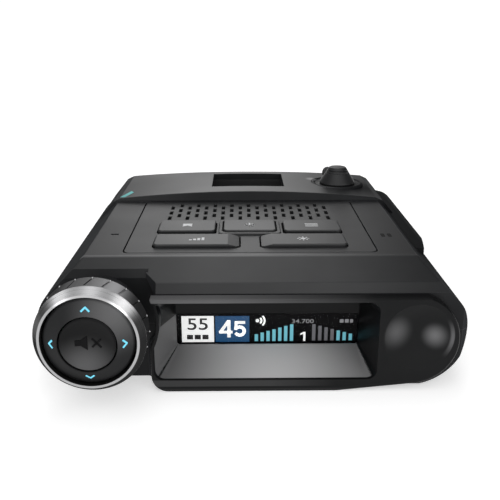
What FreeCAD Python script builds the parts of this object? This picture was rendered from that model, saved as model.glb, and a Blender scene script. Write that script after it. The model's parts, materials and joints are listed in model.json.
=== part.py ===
import FreeCAD, Part
import math
import os
import re

import Sketcher
from FreeCAD import Placement, Rotation, Vector

# Dashboard radar detector with a display, a control knob, top keys and a swivelling camera head.
# Frame: +X to the right, +Y towards the road (away from the driver), +Z up.
# The origin is at the middle of the base, at the level that the housing rests on. Millimetres.

SIZES = {
    # housing, seen from the front: flat bottom, round sides, facets up to a flat top plate
    "wall": 2.0,
    "bottom_half": 24.0,
    "side_x": 47.8,
    "side_z": 16.5,
    "side_r": 13.9,
    "side_low_r": 17.0,
    "side_high_angle": 47.5,
    "plate_half": 48.2,
    "plate_z": 35.6,
    "split_z": 17.0,
    # housing, seen from the side and from above
    "housing_front_y": -47.7,
    "rear_y": 63.5,
    "slope_top_y": -36.4,
    "lip_y": -46.15,
    "lip_z": 31.05,
    "seam_z": 28.4,
    "housing_edge_r": 0.8,
    "plan_half": 62.0,
    "front_corner": 2.2,
    "rear_corner_r": 20.0,
    "rear_edge_r": 6.0,
    "bay_wall_y": -42.0,
    "bay_corner_x": -30.0,
    "bay_side_x": -26.5,
    "bay_side_y": -46.0,
    # raised rear deck and the rail along the right side
    "deck_front_y": 24.5,
    "deck_z": 39.1,
    "deck_edge_x": 47.5,
    "deck_edge_z": 36.8,
    "deck_shoulder_x": 50.1,
    "deck_shoulder_z": 35.7,
    "deck_hip_x": 54.9,
    "deck_hip_z": 29.9,
    "deck_low_z": 26.0,
    "rail_front_y": -17.0,
    "rail_full_y": 5.0,
    "rail_rear_y": 61.0,
    "rail_x": 59.6,
    "rail_top_z": 31.0,
    "rail_edge_r": 4.4,
    # front bezel with its display recess and finger dish
    "bezel_front_y": -52.0,
    "bezel_top_z": 28.2,
    "bezel_low_z": 0.1,
    "bezel_left_x": -28.2,
    "bezel_corner_r": 4.7,
    "bezel_end_x": 44.6,
    "bezel_end_z": 15.6,
    "bezel_end_r": 13.4,
    "bezel_edge_r": 0.7,
    "chin_z": 1.2,
    "chin_depth": 0.5,
    "seam_gap": 0.45,
    "seam_depth": 0.8,
    "knob_gap_r": 16.1,
    "cheek_r": 17.0,
    "recess_left": -27.4,
    "recess_right": 35.3,
    "recess_low": 3.8,
    "recess_high": 27.3,
    "recess_corner_r": 2.9,
    "screen_y": -39.0,
    "screen_left": -21.9,
    "screen_right": 31.7,
    "screen_low": 8.5,
    "screen_high": 24.5,
    "screen_corner_r": 0.9,
    "display_high": 18.6,
    "frame_thick": 0.5,
    "tunnel_wall": 1.1,
    "dish_x": 46.4,
    "dish_z": 16.8,
    "dish_r": 9.8,
    "dish_depth": 2.8,
    # display
    "window_thick": 0.6,
    "panel_gap": 0.3,
    "panel_thick": 3.0,
    # key panel, keys and speaker slots
    "insert_half": 37.2,
    "insert_front_y": -33.5,
    "insert_rear_y": 24.3,
    "insert_corner_r": 2.0,
    "insert_gap": 0.4,
    "ledge": 2.0,
    "key_top_z": 36.6,
    "key_gap": 0.4,
    "key_corner_r": 1.3,
    "key_edge_r": 0.4,
    "key_low_z": 32.75,
    "key_flange": 0.8,
    "key_flange_thick": 0.5,
    "key_pad_z": 32.15,
    "ring_half": 9.9,
    "ring_front_y": -16.9,
    "ring_rear_y": -2.2,
    "ring_top_z": 36.15,
    "ring_seat": 0.8,
    "slot_pitch": 3.0,
    "slot_wide": 1.15,
    "slot_long": 4.2,
    "slot_step": 6.5,
    "slot_first_y": 2.6,
    "slot_offset": 3.2,
    # dock well in the deck
    "well_half": 13.8,
    "well_front_y": 34.4,
    "well_rear_y": 56.2,
    "well_floor_z": 31.6,
    "well_lip_z": 36.5,
    "socket_wall": 1.5,
    # camera head
    "camera_x": 35.3,
    "camera_y": 44.0,
    "camera_swing": 20.0,
    "neck_r": 6.9,
    "collar_r": 6.6,
    "collar_sleeve_r": 9.0,
    "flange_r": 10.2,
    "barrel_r": 2.2,
    "barrel_z": 40.5,
    "barrel_reach": 8.9,
    # control knob, on an axis along Y
    "knob_x": -42.3,
    "knob_z": 21.4,
    "face_y": -63.5,
    "spindle_r": 9.5,
    "spindle_front_y": -57.4,
    "sleeve_r": 14.8,
    "sleeve_bore_r": 12.6,
    "sleeve_rear_y": -54.3,
    "sleeve_front_y": -61.1,
    "running_gap": 0.1,
    "trim_r": 14.85,
    "trim_lip_r": 13.25,
    "stud_start": 2.5,
    "stud_r": 0.28,
    "groove_lean": 14.0,
    "pad_r": 12.0,
    "pad_hole_r": 7.75,
    "pad_peak_y": -64.7,
    "pad_rim_y": -62.85,
    "pad_pivot_y": -59.8,
    "mute_r": 7.4,
    "pad_crest_r": 7.9,
    "pad_slope_r": 11.6,
    "arrow_r": 9.5,
    "arrow_proud": 0.05,
    # rear laser window and its receivers
    "laser_half": 13.0,
    "laser_low_z": 18.6,
    "laser_high_z": 29.0,
    # circuit board and screws
    "board_z": 9.0,
    "board_thick": 1.6,
    "board_half": 44.5,
    "board_front_y": -33.5,
    "board_rear_y": 55.0,
    "boss_r": 3.2,
    "screw_r": 1.1,
    "screw_head_r": 2.0,
    "screw_head_z": 4.6,
    "screw_seat_z": 6.0,
    "screw_top_z": 24.0,
    # speaker, on a vertical axis under the slots
    "speaker_y": 11.0,
    "speaker_r": 11.0,
    # card and port in the right side
    "card_front_y": 22.5,
    "card_rear_y": 33.5,
    "card_z": 26.5,
    "card_thick": 1.0,
    "card_end_x": 58.9,
    "card_long": 15.0,
    "port_front_y": 8.2,
    "port_rear_y": 17.2,
    "port_low_z": 25.5,
    "port_high_z": 28.7,
}

STUDS = 20
ENCODER_SLOTS = 24
SLOT_COLUMNS = 19
SLOTS_IN_COLUMN = 3
FAR = 70.0

PLANES = {
    "XY": (Rotation(), Vector(0, 0, 1)),
    "XZ": (Rotation(Vector(1, 0, 0), 90), Vector(0, 1, 0)),
    "YZ": (Rotation(Vector(1, 1, 1), 120), Vector(1, 0, 0)),
}
ROD_TURNS = {
    "X": Rotation(Vector(0, 1, 0), 90),
    "Y": Rotation(Vector(1, 0, 0), -90),
    "Z": Rotation(),
}

doc = FreeCAD.newDocument("radar_detector")
dims = doc.addObject("Spreadsheet::Sheet", "dims")
nodes = {}


def fill_sheet():
    for row, (alias, value) in enumerate(SIZES.items(), start=1):
        dims.set(f"A{row}", alias)
        dims.set(f"B{row}", str(value))
        dims.setAlias(f"B{row}", alias)
    doc.recompute()


# ---- building blocks: every length given to them is a number or a formula over the sheet's names ----

def formula(text):
    def cell(match):
        word = match.group()
        return "dims." + word if word in SIZES else word
    return re.sub(r"[a-z]\w+", cell, str(text))


def number(text):
    return float(dims.evalExpression(formula(text)))


def bind(item, prop, text):
    item.setExpression(prop, formula(text))


def place(item, x, y, z):
    for axis, text in zip("xyz", (x, y, z)):
        bind(item, "Placement.Base." + axis, text)


def outline(name, plane, points, at=(0, 0, 0)):
    """A closed sketch. A point is (u, v), or (u, v, radius) where an arc of that radius runs to the next
    point: it bulges out of an anticlockwise outline, or into it when the radius is negative."""
    sketch = doc.addObject("Sketcher::SketchObject", name)
    sketch.Placement = Placement(Vector(), PLANES[plane][0])
    place(sketch, *at)
    corners = [Vector(number(point[0]), number(point[1]), 0) for point in points]
    radii = [number(point[2]) if len(point) == 3 else 0.0 for point in points]
    count = len(points)
    edges = []
    for index, radius in enumerate(radii):
        start = corners[index]
        end = corners[(index + 1) % count]
        if radius:
            chord = end - start
            rise = abs(radius) - math.sqrt(radius * radius - chord.Length ** 2 / 4)
            out = Vector(chord.y, -chord.x, 0).normalize() * math.copysign(rise, radius)
            edges.append(Part.Arc(start, (start + end) / 2 + out, end))
        else:
            edges.append(Part.LineSegment(start, end))
    sketch.addGeometry(edges, False)
    ends = [(2, 1) if radius < 0 else (1, 2) for radius in radii]
    links = []
    for index in range(count):
        following = (index + 1) % count
        links.append(Sketcher.Constraint("Coincident", index, ends[index][1], following, ends[following][0]))
    sizes = []
    for index, point in enumerate(points):
        first = ends[index][0]
        sizes.append((Sketcher.Constraint("DistanceX", -1, 1, index, first, corners[index].x), point[0]))
        sizes.append((Sketcher.Constraint("DistanceY", -1, 1, index, first, corners[index].y), point[1]))
        if radii[index]:
            sizes.append((Sketcher.Constraint("Radius", index, abs(radii[index])), f"abs({point[2]})"))
    sketch.addConstraint(links + [constraint for constraint, _ in sizes])
    for index, (_, text) in enumerate(sizes, start=len(links)):
        bind(sketch, f"Constraints[{index}]", text)
    return sketch


def prism(name, plane, points, low, high):
    """An outline pushed along its plane's own axis, from low to high."""
    at = {"XY": (0, 0, low), "XZ": (0, low, 0), "YZ": (low, 0, 0)}[plane]
    solid = doc.addObject("Part::Extrusion", name)
    solid.Base = outline(name + "_outline", plane, points, at)
    solid.DirMode = "Custom"
    solid.Dir = PLANES[plane][1]
    solid.Solid = True
    bind(solid, "LengthFwd", f"({high}) - ({low})")
    return solid


def turned(name, axis, centre, points):
    """An outline of (radius, height) points turned about an axis along Y or Z."""
    plane = {"Y": "XY", "Z": "XZ"}[axis]
    solid = doc.addObject("Part::Revolution", name)
    solid.Source = outline(name + "_outline", plane, points, centre)
    solid.Axis = {"Y": Vector(0, 1, 0), "Z": Vector(0, 0, 1)}[axis]
    solid.Angle = 360
    solid.Solid = True
    for letter, text in zip("xyz", centre):
        bind(solid, "Base." + letter, text)
    return solid


def rounded(across, along, radius):
    """The corners of a rectangle with round corners."""
    left, right = across
    low, high = along
    return [
        (f"({left}) + {radius}", low),
        (f"({right}) - {radius}", low, radius),
        (right, f"({low}) + {radius}"),
        (right, f"({high}) - {radius}", radius),
        (f"({right}) - {radius}", high),
        (f"({left}) + {radius}", high, radius),
        (left, f"({high}) - {radius}"),
        (left, f"({low}) + {radius}", radius),
    ]


def mirrored(right):
    """Close the right half of an outline, listed upwards, with its mirror image."""
    left = []
    for index in range(len(right) - 1, -1, -1):
        arc = right[index - 1][2:] if index else ()
        left.append((f"-({right[index][0]})", right[index][1]) + tuple(arc))
    return right + left


def block(name, x, y, z):
    solid = doc.addObject("Part::Box", name)
    for prop, (low, high) in zip(("Length", "Width", "Height"), (x, y, z)):
        bind(solid, prop, f"({high}) - ({low})")
    place(solid, x[0], y[0], z[0])
    return solid


def rod(name, axis, centre, radius, low, high):
    """A cylinder. The centre gives its two places across the axis, and low and high its ends."""
    solid = doc.addObject("Part::Cylinder", name)
    solid.Placement = Placement(Vector(), ROD_TURNS[axis])
    bind(solid, "Radius", radius)
    bind(solid, "Height", f"({high}) - ({low})")
    first, second = centre
    place(solid, *{"X": (low, first, second), "Y": (first, low, second), "Z": (first, second, low)}[axis])
    return solid


def tapered(name, front, front_y, back, back_y):
    """A four-sided duct between two round-cornered rectangles, each (across, up, radius)."""
    solid = doc.addObject("Part::Loft", name)
    solid.Sections = [
        outline(name + "_front", "XZ", rounded(*front), (0, front_y, 0)),
        outline(name + "_back", "XZ", rounded(*back), (0, back_y, 0)),
    ]
    solid.Solid = True
    solid.Ruled = True
    return solid


def join(name, *parts):
    solid = doc.addObject("Part::MultiFuse", name)
    solid.Shapes = list(parts)
    return solid


def group(name, *parts):
    """Separate solids kept side by side."""
    several = doc.addObject("Part::Compound", name)
    several.Links = list(parts)
    return several


def take(name, base, *tools):
    """The base with the tools cut away."""
    solid = doc.addObject("Part::Cut", name)
    solid.Base = base
    solid.Tool = tools[0] if len(tools) == 1 else join(name + "_tools", *tools)
    return solid


def common(name, *parts):
    solid = doc.addObject("Part::MultiCommon", name)
    solid.Shapes = list(parts)
    return solid


def soften(name, base, radius, touches):
    """Round every edge of the base whose middle passes the test."""
    doc.recompute()
    solid = doc.addObject("Part::Fillet", name)
    solid.Base = base
    size = number(radius)
    chosen = []
    for index, edge in enumerate(base.Shape.Edges, start=1):
        if touches(edge.CenterOfMass):
            chosen.append((index, size, size))
    solid.Edges = chosen
    return solid


def node(name, item):
    """Name a finished sub-part."""
    item.Label = name
    nodes[name] = item
    return item


def around_knob(item, degrees, x, y, z, lean=0.0):
    """Set an item at (x, y, z) from the knob's axis, lean it in its own plane and turn it about the axis."""
    for letter in "xyz":
        item.setExpression("Placement.Base." + letter, None)
    turn = Rotation(Vector(0, 1, 0), degrees)
    axis = Placement(Vector(number("knob_x"), 0, number("knob_z")), turn)
    item.Placement = axis.multiply(Placement(Vector(x, y, z), Rotation(Vector(0, 0, 1), lean)))
    return item


# ---- housing ----

def section(inset):
    """The housing cut across: flat bottom, two arcs up each side, facets and the top plate."""
    radius = f"(side_r - {inset})"
    low = f"(side_low_r - {inset})"
    drop = f"(side_z - {inset})"
    return mirrored([
        (f"side_x + side_r - side_low_r + sqrt({low}*{low} - {drop}*{drop})", inset, low),
        (f"side_x + {radius}", "side_z", radius),
        (f"side_x + {radius}*cos(side_high_angle)", f"side_z + {radius}*sin(side_high_angle)"),
        (f"plate_half - {inset}/2", f"plate_z - {inset}"),
    ])


def deck_section():
    crown = "(deck_z - deck_edge_z)"
    crown_r = f"(deck_edge_x*deck_edge_x + {crown}*{crown})/(2*{crown})"
    return mirrored([
        ("deck_hip_x + 1.8", "deck_low_z"),
        ("deck_hip_x", "deck_hip_z"),
        ("deck_shoulder_x", "deck_shoulder_z"),
        ("deck_edge_x", "deck_edge_z", crown_r),
    ])


def plan(inset):
    """The housing from above, with the bay for the knob at the front left."""
    half = f"(plan_half - {inset})"
    radius = f"(rear_corner_r - {inset})"
    corner_y = "rear_y - rear_corner_r"
    corner_x = "(plan_half - rear_corner_r)"
    return [
        (f"bay_side_x + {inset}", f"housing_front_y + {inset}"),
        (f"{half} - front_corner + {inset}*0.6", f"housing_front_y + {inset}"),
        (half, f"housing_front_y + front_corner + {inset}*0.4"),
        (half, corner_y, radius),
        (corner_x, f"rear_y - {inset}"),
        (f"-{corner_x}", f"rear_y - {inset}", radius),
        (f"-{half}", corner_y),
        (f"-{half}", f"bay_wall_y + {inset}"),
        (f"bay_corner_x + {inset}*0.45", f"bay_wall_y + {inset}"),
        (f"bay_side_x + {inset}", f"bay_side_y + {inset}*0.35"),
    ]


def side_outer():
    """The housing from the right side: front lip and slope, top plate, riser, deck and round rear edge."""
    slope = "(slope_top_y - lip_y)/(plate_z - lip_z)"
    return [
        ("housing_front_y", -5),
        ("rear_y", -5),
        ("rear_y", "deck_z + 0.5 - rear_edge_r", "rear_edge_r"),
        ("rear_y - rear_edge_r", "deck_z + 0.5"),
        ("rear_y - 2*rear_edge_r", 45),
        ("deck_front_y + 4", 45),
        ("deck_front_y - 0.1", "plate_z + 0.3"),
        (f"slope_top_y + 0.3*{slope}", "plate_z + 0.3"),
        ("lip_y", "lip_z"),
        ("housing_front_y", "seam_z"),
    ]


def side_inner():
    return [
        ("housing_front_y + wall", -5),
        ("rear_y - wall", -5),
        ("rear_y - wall", 45),
        ("slope_top_y + 3.4", 45),
        ("slope_top_y + 3.4", "plate_z - 0.65"),
        ("lip_y + 1.25", "lip_z - 1.65"),
        ("housing_front_y + wall", "seam_z - 0.6"),
    ]


def housing_crest(point):
    """Whether an edge is on the rim of the top plate, the slope or the deck."""
    across = abs(point.x)
    if point.y > 0:
        deck_front = across < 1 and point.z > number("plate_z") + 2
        shoulder = abs(across - number("deck_shoulder_x")) < 0.1 and point.z > number("deck_hip_z") + 5
        return point.y < number("deck_front_y") + 30 and (deck_front or shoulder)
    beside_bay = point.x < -20 and point.y < number("bay_wall_y") + 0.5
    return across < number("plate_half") + 5 and point.z > number("lip_z") - 0.5 and not beside_bay


def shell_outer():
    body = prism("housing_body", "XZ", section(0), "housing_front_y", "rear_y")
    deck = prism("housing_deck", "XZ", deck_section(), "deck_front_y", "rear_y")
    rail = prism("housing_rail_bar", "XZ", [
        ("side_x", "rail_top_z - 12"),
        ("rail_x", "rail_top_z - 12"),
        ("rail_x", "rail_top_z - rail_edge_r", "rail_edge_r"),
        ("rail_x - rail_edge_r", "rail_top_z"),
        ("side_x", "rail_top_z + 0.4"),
    ], "rail_front_y", "rail_rear_y")
    rail_nose = prism("housing_rail_nose", "XY", [
        ("rail_x - 4.2", "rail_front_y - 1"),
        ("rail_x + 4", "rail_front_y - 1"),
        ("rail_x + 4", "rail_full_y"),
        ("rail_x + 0.1", "rail_full_y"),
        ("rail_x - 4.2", "rail_front_y"),
    ], 0, "deck_z")
    solid = join("housing_solid", body, deck, take("housing_rail", rail, rail_nose))
    seen_from_above = prism("housing_plan", "XY", plan(0), -5, 50)
    seen_from_side = prism("housing_side", "YZ", side_outer(), -FAR, FAR)
    outer = common("housing_outer", solid, seen_from_above, seen_from_side)
    return soften("housing_soft", outer, "housing_edge_r", housing_crest)


def shell_inner():
    body = prism("cavity_body", "XZ", section("wall"), "housing_front_y", "rear_y")
    seen_from_above = prism("cavity_plan", "XY", plan("wall"), -5, 50)
    seen_from_side = prism("cavity_side", "YZ", side_inner(), -FAR, FAR)
    return common("housing_cavity", body, seen_from_above, seen_from_side)


BOSSES = [
    ("front_left", -40, -28, "plate_z - 1.5"),
    ("front_right", 40, -28, "plate_z - 1.5"),
    ("rear_left", -49, 44, 31),
    ("rear_right", 49, 44, 31),
]
BOARD_POSTS = [("left", -41, 4), ("right", 41, 4), ("rear_left", -9, 46), ("rear_right", 9, 46)]


def knob_rod(name, radius, low, high):
    return rod(name, "Y", ("knob_x", "knob_z"), radius, low, high)


def tunnel(name, extra, front_y):
    """The display recess's duct, made larger by extra, from the bezel back to the screen."""
    share = f"((({front_y}) - bezel_front_y)/(screen_y - bezel_front_y))"

    def between(first, last, sign):
        return f"({first}) + (({last}) - ({first}))*{share} {sign} {extra}"

    front = (
        (between("recess_left", "screen_left", "-"), between("recess_right", "screen_right", "+")),
        (between("recess_low", "screen_low", "-"), between("recess_high", "screen_high", "+")),
        "recess_corner_r",
    )
    back = (
        (f"screen_left - {extra}", f"screen_right + {extra}"),
        (f"screen_low - {extra}", f"screen_high + {extra}"),
        "screen_corner_r",
    )
    return tapered(name, front, front_y, back, "screen_y")


def make_housing(collar):
    outer = shell_outer()
    cavity = shell_inner()
    duct = tunnel("housing_duct", "tunnel_wall", "housing_front_y")
    wire_hole = knob_rod("housing_wire_hole", 4.5, "bay_wall_y - 1", "bay_wall_y + 4")
    knob_space = knob_rod("housing_knob_space", "knob_gap_r", -FAR, "bay_wall_y")
    hollow = take("housing_hollow", outer, cavity, duct, wire_hole, knob_space)

    above = block("above_split", (-FAR, FAR), (-FAR, FAR), ("split_z", 60))
    below = block("below_split", (-FAR, FAR), (-FAR, FAR), (-10, "split_z"))

    # lower half: screw bosses, board posts, counterbores
    lower_adds = []
    lower_cuts = []
    upper_adds = []
    upper_cuts = []
    for name, x, y, top in BOSSES:
        lower_adds.append(rod(f"boss_{name}", "Z", (x, y), "boss_r", "wall - 0.5", "split_z"))
        lower_cuts.append(rod(f"boss_hole_{name}", "Z", (x, y), "screw_r + 0.1", -1, "split_z + 1"))
        lower_cuts.append(rod(f"counterbore_{name}", "Z", (x, y), "screw_head_r + 0.3", -1, "screw_seat_z"))
        upper_adds.append(rod(f"post_{name}", "Z", (x, y), "boss_r", "split_z", top))
        upper_cuts.append(rod(f"post_hole_{name}", "Z", (x, y), "screw_r + 0.05", 10, "screw_top_z + 1"))
    for name, x, y in BOARD_POSTS:
        lower_adds.append(rod(f"board_post_{name}", "Z", (x, y), 2.2, "wall - 0.5", "board_z"))
        lower_cuts.append(rod(f"board_post_hole_{name}", "Z", (x, y), 0.8, "board_z - 4.2", "board_z + 1"))
    shell = common("lower_shell", hollow, below)
    node("lower_housing", take("lower_housing", join("lower_body", shell, *lower_adds), *lower_cuts))

    # upper half: ledge for the key panel, and the openings in the top, rear and right side
    frame = block("ledge_frame", ("-insert_half - 2.4", "insert_half + 2.4"),
                  ("insert_front_y - 1.0", "insert_rear_y + 2.4"), ("plate_z - wall - 1.4", "plate_z - 1"))
    frame_hole = block("ledge_hole", ("-insert_half + ledge", "insert_half - ledge"),
                       ("insert_front_y + ledge", "insert_rear_y - ledge"), (20, 50))
    upper_adds.append(frame)
    upper_cuts.append(frame_hole)
    upper_cuts.append(prism("insert_seat", "XY", rounded(
        ("-insert_half - insert_gap", "insert_half + insert_gap"),
        ("insert_front_y - insert_gap", "insert_rear_y + insert_gap/2"),
        "insert_corner_r"), "plate_z - wall", "plate_z + 5"))
    upper_cuts.append(block("dock_mouth", ("-well_half", "well_half"), ("well_front_y", "well_rear_y"),
                            (20, 50)))
    upper_cuts.append(block("dock_pocket", ("-well_half - socket_wall", "well_half + socket_wall"),
                            ("well_front_y - socket_wall", "well_rear_y + socket_wall"), (20, "well_lip_z")))
    upper_cuts.append(collar)
    upper_cuts.append(rod("camera_bore", "Z", ("camera_x", "camera_y"), "collar_sleeve_r", 30, 50))
    upper_cuts.append(rod("camera_seat", "Z", ("camera_x", "camera_y"), "flange_r", 35.9, 50))
    upper_cuts.append(prism("laser_opening", "XZ", rounded(
        ("-laser_half - 0.05", "laser_half + 0.05"), ("laser_low_z - 0.05", "laser_high_z + 0.05"), 1.5),
        "rear_y - 4", "rear_y + 1"))
    upper_cuts.append(block("left_mic_slot", (-43.8, -41.4), (-16.1, -14.9), (30, 40)))
    for number_of_hole, x in enumerate((41.8, 43.8), start=1):
        upper_cuts.append(rod(f"right_mic_hole_{number_of_hole}", "Z", (x, -17.3), 0.65, 30, 40))
    upper_cuts.append(block("card_opening", (51.5, FAR), ("card_front_y - 0.3", "card_rear_y + 0.3"),
                            ("card_z - 0.3", "card_z + card_thick + 0.3")))
    upper_cuts.append(block("card_thumb_notch", ("card_end_x - 1.4", FAR), ("card_front_y + 3", "card_rear_y - 3"),
                            ("card_z - 1.1", "card_z + card_thick + 1.1")))
    upper_cuts.append(prism("port_opening", "YZ", rounded(
        ("port_front_y", "port_rear_y"), ("port_low_z", "port_high_z"), 1.5), 49, FAR))
    upper_cuts.append(prism("hood_bevel", "YZ", [
        ("bay_wall_y - 0.4", 30), ("bay_wall_y + 1.6", 35), ("bay_wall_y - 0.4", 35)], -FAR, "bay_corner_x + 1"))
    shell = common("upper_shell", hollow, above)
    node("upper_housing", take("upper_housing", join("upper_body", shell, *upper_adds), *upper_cuts))


def make_screws():
    housing = []
    for name, x, y, _ in BOSSES:
        head = rod(f"screw_head_{name}", "Z", (x, y), "screw_head_r", "screw_head_z", "screw_seat_z")
        shank = rod(f"screw_shank_{name}", "Z", (x, y), "screw_r", "screw_seat_z", "screw_top_z")
        socket = prism(f"screw_socket_{name}", "XY", hexagon(x, y, 1.1),
                       "screw_head_z - 1", "screw_head_z + 0.8")
        housing.append(take(f"housing_screw_{name}", join(f"screw_blank_{name}", head, shank), socket))
    node("housing_screws", group("housing_screws", *housing))
    board = []
    top = "board_z + board_thick"
    for name, x, y in BOARD_POSTS:
        head = rod(f"board_screw_head_{name}", "Z", (x, y), 1.5, top, f"{top} + 1.1")
        shank = rod(f"board_screw_shank_{name}", "Z", (x, y), 0.75, "board_z - 4", top)
        board.append(join(f"board_screw_{name}", head, shank))
    node("board_screws", group("board_screws", *board))


def hexagon(x, y, radius):
    corners = []
    for step in range(6):
        turn = math.radians(60 * step)
        corners.append((x + radius * math.cos(turn), y + radius * math.sin(turn)))
    return corners


# ---- bezel and display ----

def bezel_outline(inset):
    radius = f"(bezel_end_r - {inset})"
    top = f"(bezel_top_z - {inset})"
    rise = f"({top} - bezel_end_z)"
    return [
        ("bezel_left_x + bezel_corner_r", f"bezel_low_z + {inset}"),
        ("bottom_half", f"bezel_low_z + {inset}"),
        (f"bezel_end_x + {radius}*cos(80)", f"bezel_end_z - {radius}*sin(80)", radius),
        (f"bezel_end_x + sqrt({radius}*{radius} - {rise}*{rise})", top),
        (f"bezel_left_x + {inset}", top),
        (f"bezel_left_x + {inset}", "bezel_low_z + bezel_corner_r", f"(bezel_corner_r - {inset})"),
    ]


def make_bezel():
    face = prism("bezel_face", "XZ", bezel_outline(0), "bezel_front_y", "housing_front_y - seam_gap")
    front = number("bezel_front_y")
    soft = soften("bezel_soft_face", face, "bezel_edge_r", lambda point: abs(point.y - front) < 0.01)
    neck = prism("bezel_neck", "XZ", bezel_outline("seam_depth"),
                 "housing_front_y - seam_gap", "housing_front_y")
    duct = tunnel("bezel_duct", "tunnel_wall", "housing_front_y")
    recess = tunnel("bezel_recess", 0, "bezel_front_y")
    cheek = knob_rod("bezel_cheek", "cheek_r", -FAR, 0)
    knob_space = knob_rod("bezel_knob_space", "knob_gap_r", -FAR, 0)
    bowl = doc.addObject("Part::Sphere", "bezel_dish_ball")
    bowl_r = "((dish_r*dish_r + dish_depth*dish_depth)/(2*dish_depth))"
    bind(bowl, "Radius", bowl_r)
    place(bowl, "dish_x", f"bezel_front_y + dish_depth - {bowl_r}", "dish_z")
    chin = prism("bezel_chin", "YZ", [
        ("bezel_front_y - 1", "chin_z + chin_z/chin_depth"), ("bezel_front_y - 1", 0),
        ("bezel_front_y + chin_depth", 0)], -FAR, FAR)
    body = join("bezel_body", soft, neck, duct)
    opening = take("bezel_opening", recess, cheek)
    cut = take("bezel_cut", body, opening, knob_space, bowl, chin)
    frame = take("bezel_frame", block("bezel_frame_plate", *screen_span("screen_y", "screen_y + frame_thick")),
                 prism("bezel_frame_opening", "XZ", rounded(
                     ("screen_left", "screen_right"), ("screen_low", "display_high"), "screen_corner_r"),
                     "screen_y - 1", "screen_y + 1"))
    node("front_bezel", join("front_bezel", cut, frame))


def screen_span(front, back):
    """The room behind the display recess's duct, from front to back."""
    return (
        ("screen_left - tunnel_wall", "screen_right + tunnel_wall"),
        (front, back),
        ("screen_low - tunnel_wall", "screen_high + tunnel_wall"),
    )


def make_display():
    front = "screen_y + frame_thick"
    back = f"{front} + window_thick"
    node("display_window", block("display_window", *screen_span(front, back)))
    panel = f"{back} + panel_gap"
    rim = take("panel_rim", block("panel_rim_block", *screen_span(back, panel)),
               block("panel_rim_room", ("screen_left - 0.3", "screen_right + 0.3"),
                     (f"{back} - 1", f"{panel} + 1"), ("screen_low - 0.3", "display_high + 0.3")))
    body = block("panel_body", *screen_span(panel, f"{panel} + panel_thick"))
    node("display_panel", join("display_panel", rim, body))


# ---- key panel ----

KEYS = {
    "mark_key": ((-29.2, -11.0), (-14.9, -3.2)),
    "power_key": ((-8.4, 8.4), (-14.7, -3.0)),
    "function_key": ((11.0, 29.2), (-15.1, -3.4)),
    "sensitivity_key": ((-29.1, -3.3), (-29.0, -18.2)),
    "brightness_key": ((3.3, 29.1), (-29.0, -18.2)),
}
RAMP = 3.6


def grown(span, extra):
    low, high = span
    return (f"{low} - ({extra})", f"{high} + ({extra})")


def make_keys():
    for name, (across, along) in KEYS.items():
        cap = prism(name + "_cap", "XY", rounded(across, along, "key_corner_r"), "key_low_z", "key_top_z")
        top = number("key_top_z")
        soft = soften(name + "_soft_cap", cap, "key_edge_r", lambda point: abs(point.z - top) < 0.01)
        flange = prism(name + "_flange", "XY", rounded(
            grown(across, "key_flange"), grown(along, "key_flange"), "key_corner_r"),
            "key_low_z", "key_low_z + key_flange_thick")
        body = join(name + "_body", soft, flange)
        if name in ("sensitivity_key", "brightness_key"):
            side = math.copysign(1, across[0] + across[1])
            inner = min(abs(across[0]), abs(across[1]))
            corners = [
                (side * (inner - 1), "plate_z - 0.1"),
                (side * (inner + RAMP), "key_top_z + 0.02"),
                (side * (inner + RAMP), "key_top_z + 1"),
                (side * (inner - 1), "key_top_z + 1"),
            ]
            ramp = prism(name + "_ramp", "XZ", corners if side > 0 else corners[::-1],
                         along[0] - 2, along[1] + 2)
            body = take(name + "_ramped", body, ramp)
        node(name, body)


def make_key_panel():
    plate = prism("key_panel_plate", "XY", rounded(
        ("-insert_half", "insert_half"), ("insert_front_y", "insert_rear_y"), "insert_corner_r"),
        "plate_z - wall", "plate_z")
    ring_span = (("-ring_half", "ring_half"), ("ring_front_y", "ring_rear_y"))
    ring_seat = prism("ring_seat", "XY", rounded(*ring_span, 2), "plate_z - ring_seat", "plate_z + 1")
    posts = []
    for side in (-1, 1):
        for y in (-29.9, -2.2):
            posts.append(rod(f"key_post_{'left' if side < 0 else 'right'}_{'front' if y < -9 else 'rear'}",
                             "Z", (side * 32.8, y), 1.5, "key_pad_z - 1.9", "plate_z - 1"))
    holes = []
    for name, (across, along) in KEYS.items():
        holes.append(prism(name + "_hole", "XY", rounded(
            grown(across, "key_gap"), grown(along, "key_gap"), "key_corner_r"), 30, 40))
    slots = []
    for column in range(SLOT_COLUMNS):
        x = f"{column - SLOT_COLUMNS // 2}*slot_pitch"
        start = "slot_first_y" if column % 2 == 0 else "slot_first_y + slot_offset"
        for step in range(SLOTS_IN_COLUMN):
            y = f"{start} + {step}*slot_step"
            slots.append(block(f"speaker_slot_{column}_{step}",
                               (f"{x} - slot_wide/2", f"{x} + slot_wide/2"),
                               (f"{y} - slot_long/2", f"{y} + slot_long/2"), (30, 40)))
    body = join("key_panel_body", plate, *posts)
    node("key_panel", take("key_panel", body, ring_seat, *holes, *slots))

    ring = prism("power_ring_blank", "XY", rounded(*ring_span, 2), "plate_z - ring_seat", "ring_top_z")
    top = number("ring_top_z")
    soft = soften("power_ring_soft", ring, 0.3, lambda point: abs(point.z - top) < 0.01)
    across, along = KEYS["power_key"]
    mouth = prism("power_ring_mouth", "XY", rounded(
        grown(across, "key_gap"), grown(along, "key_gap"), "key_corner_r"), 30, 40)
    node("power_key_ring", take("power_key_ring", soft, mouth))


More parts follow.
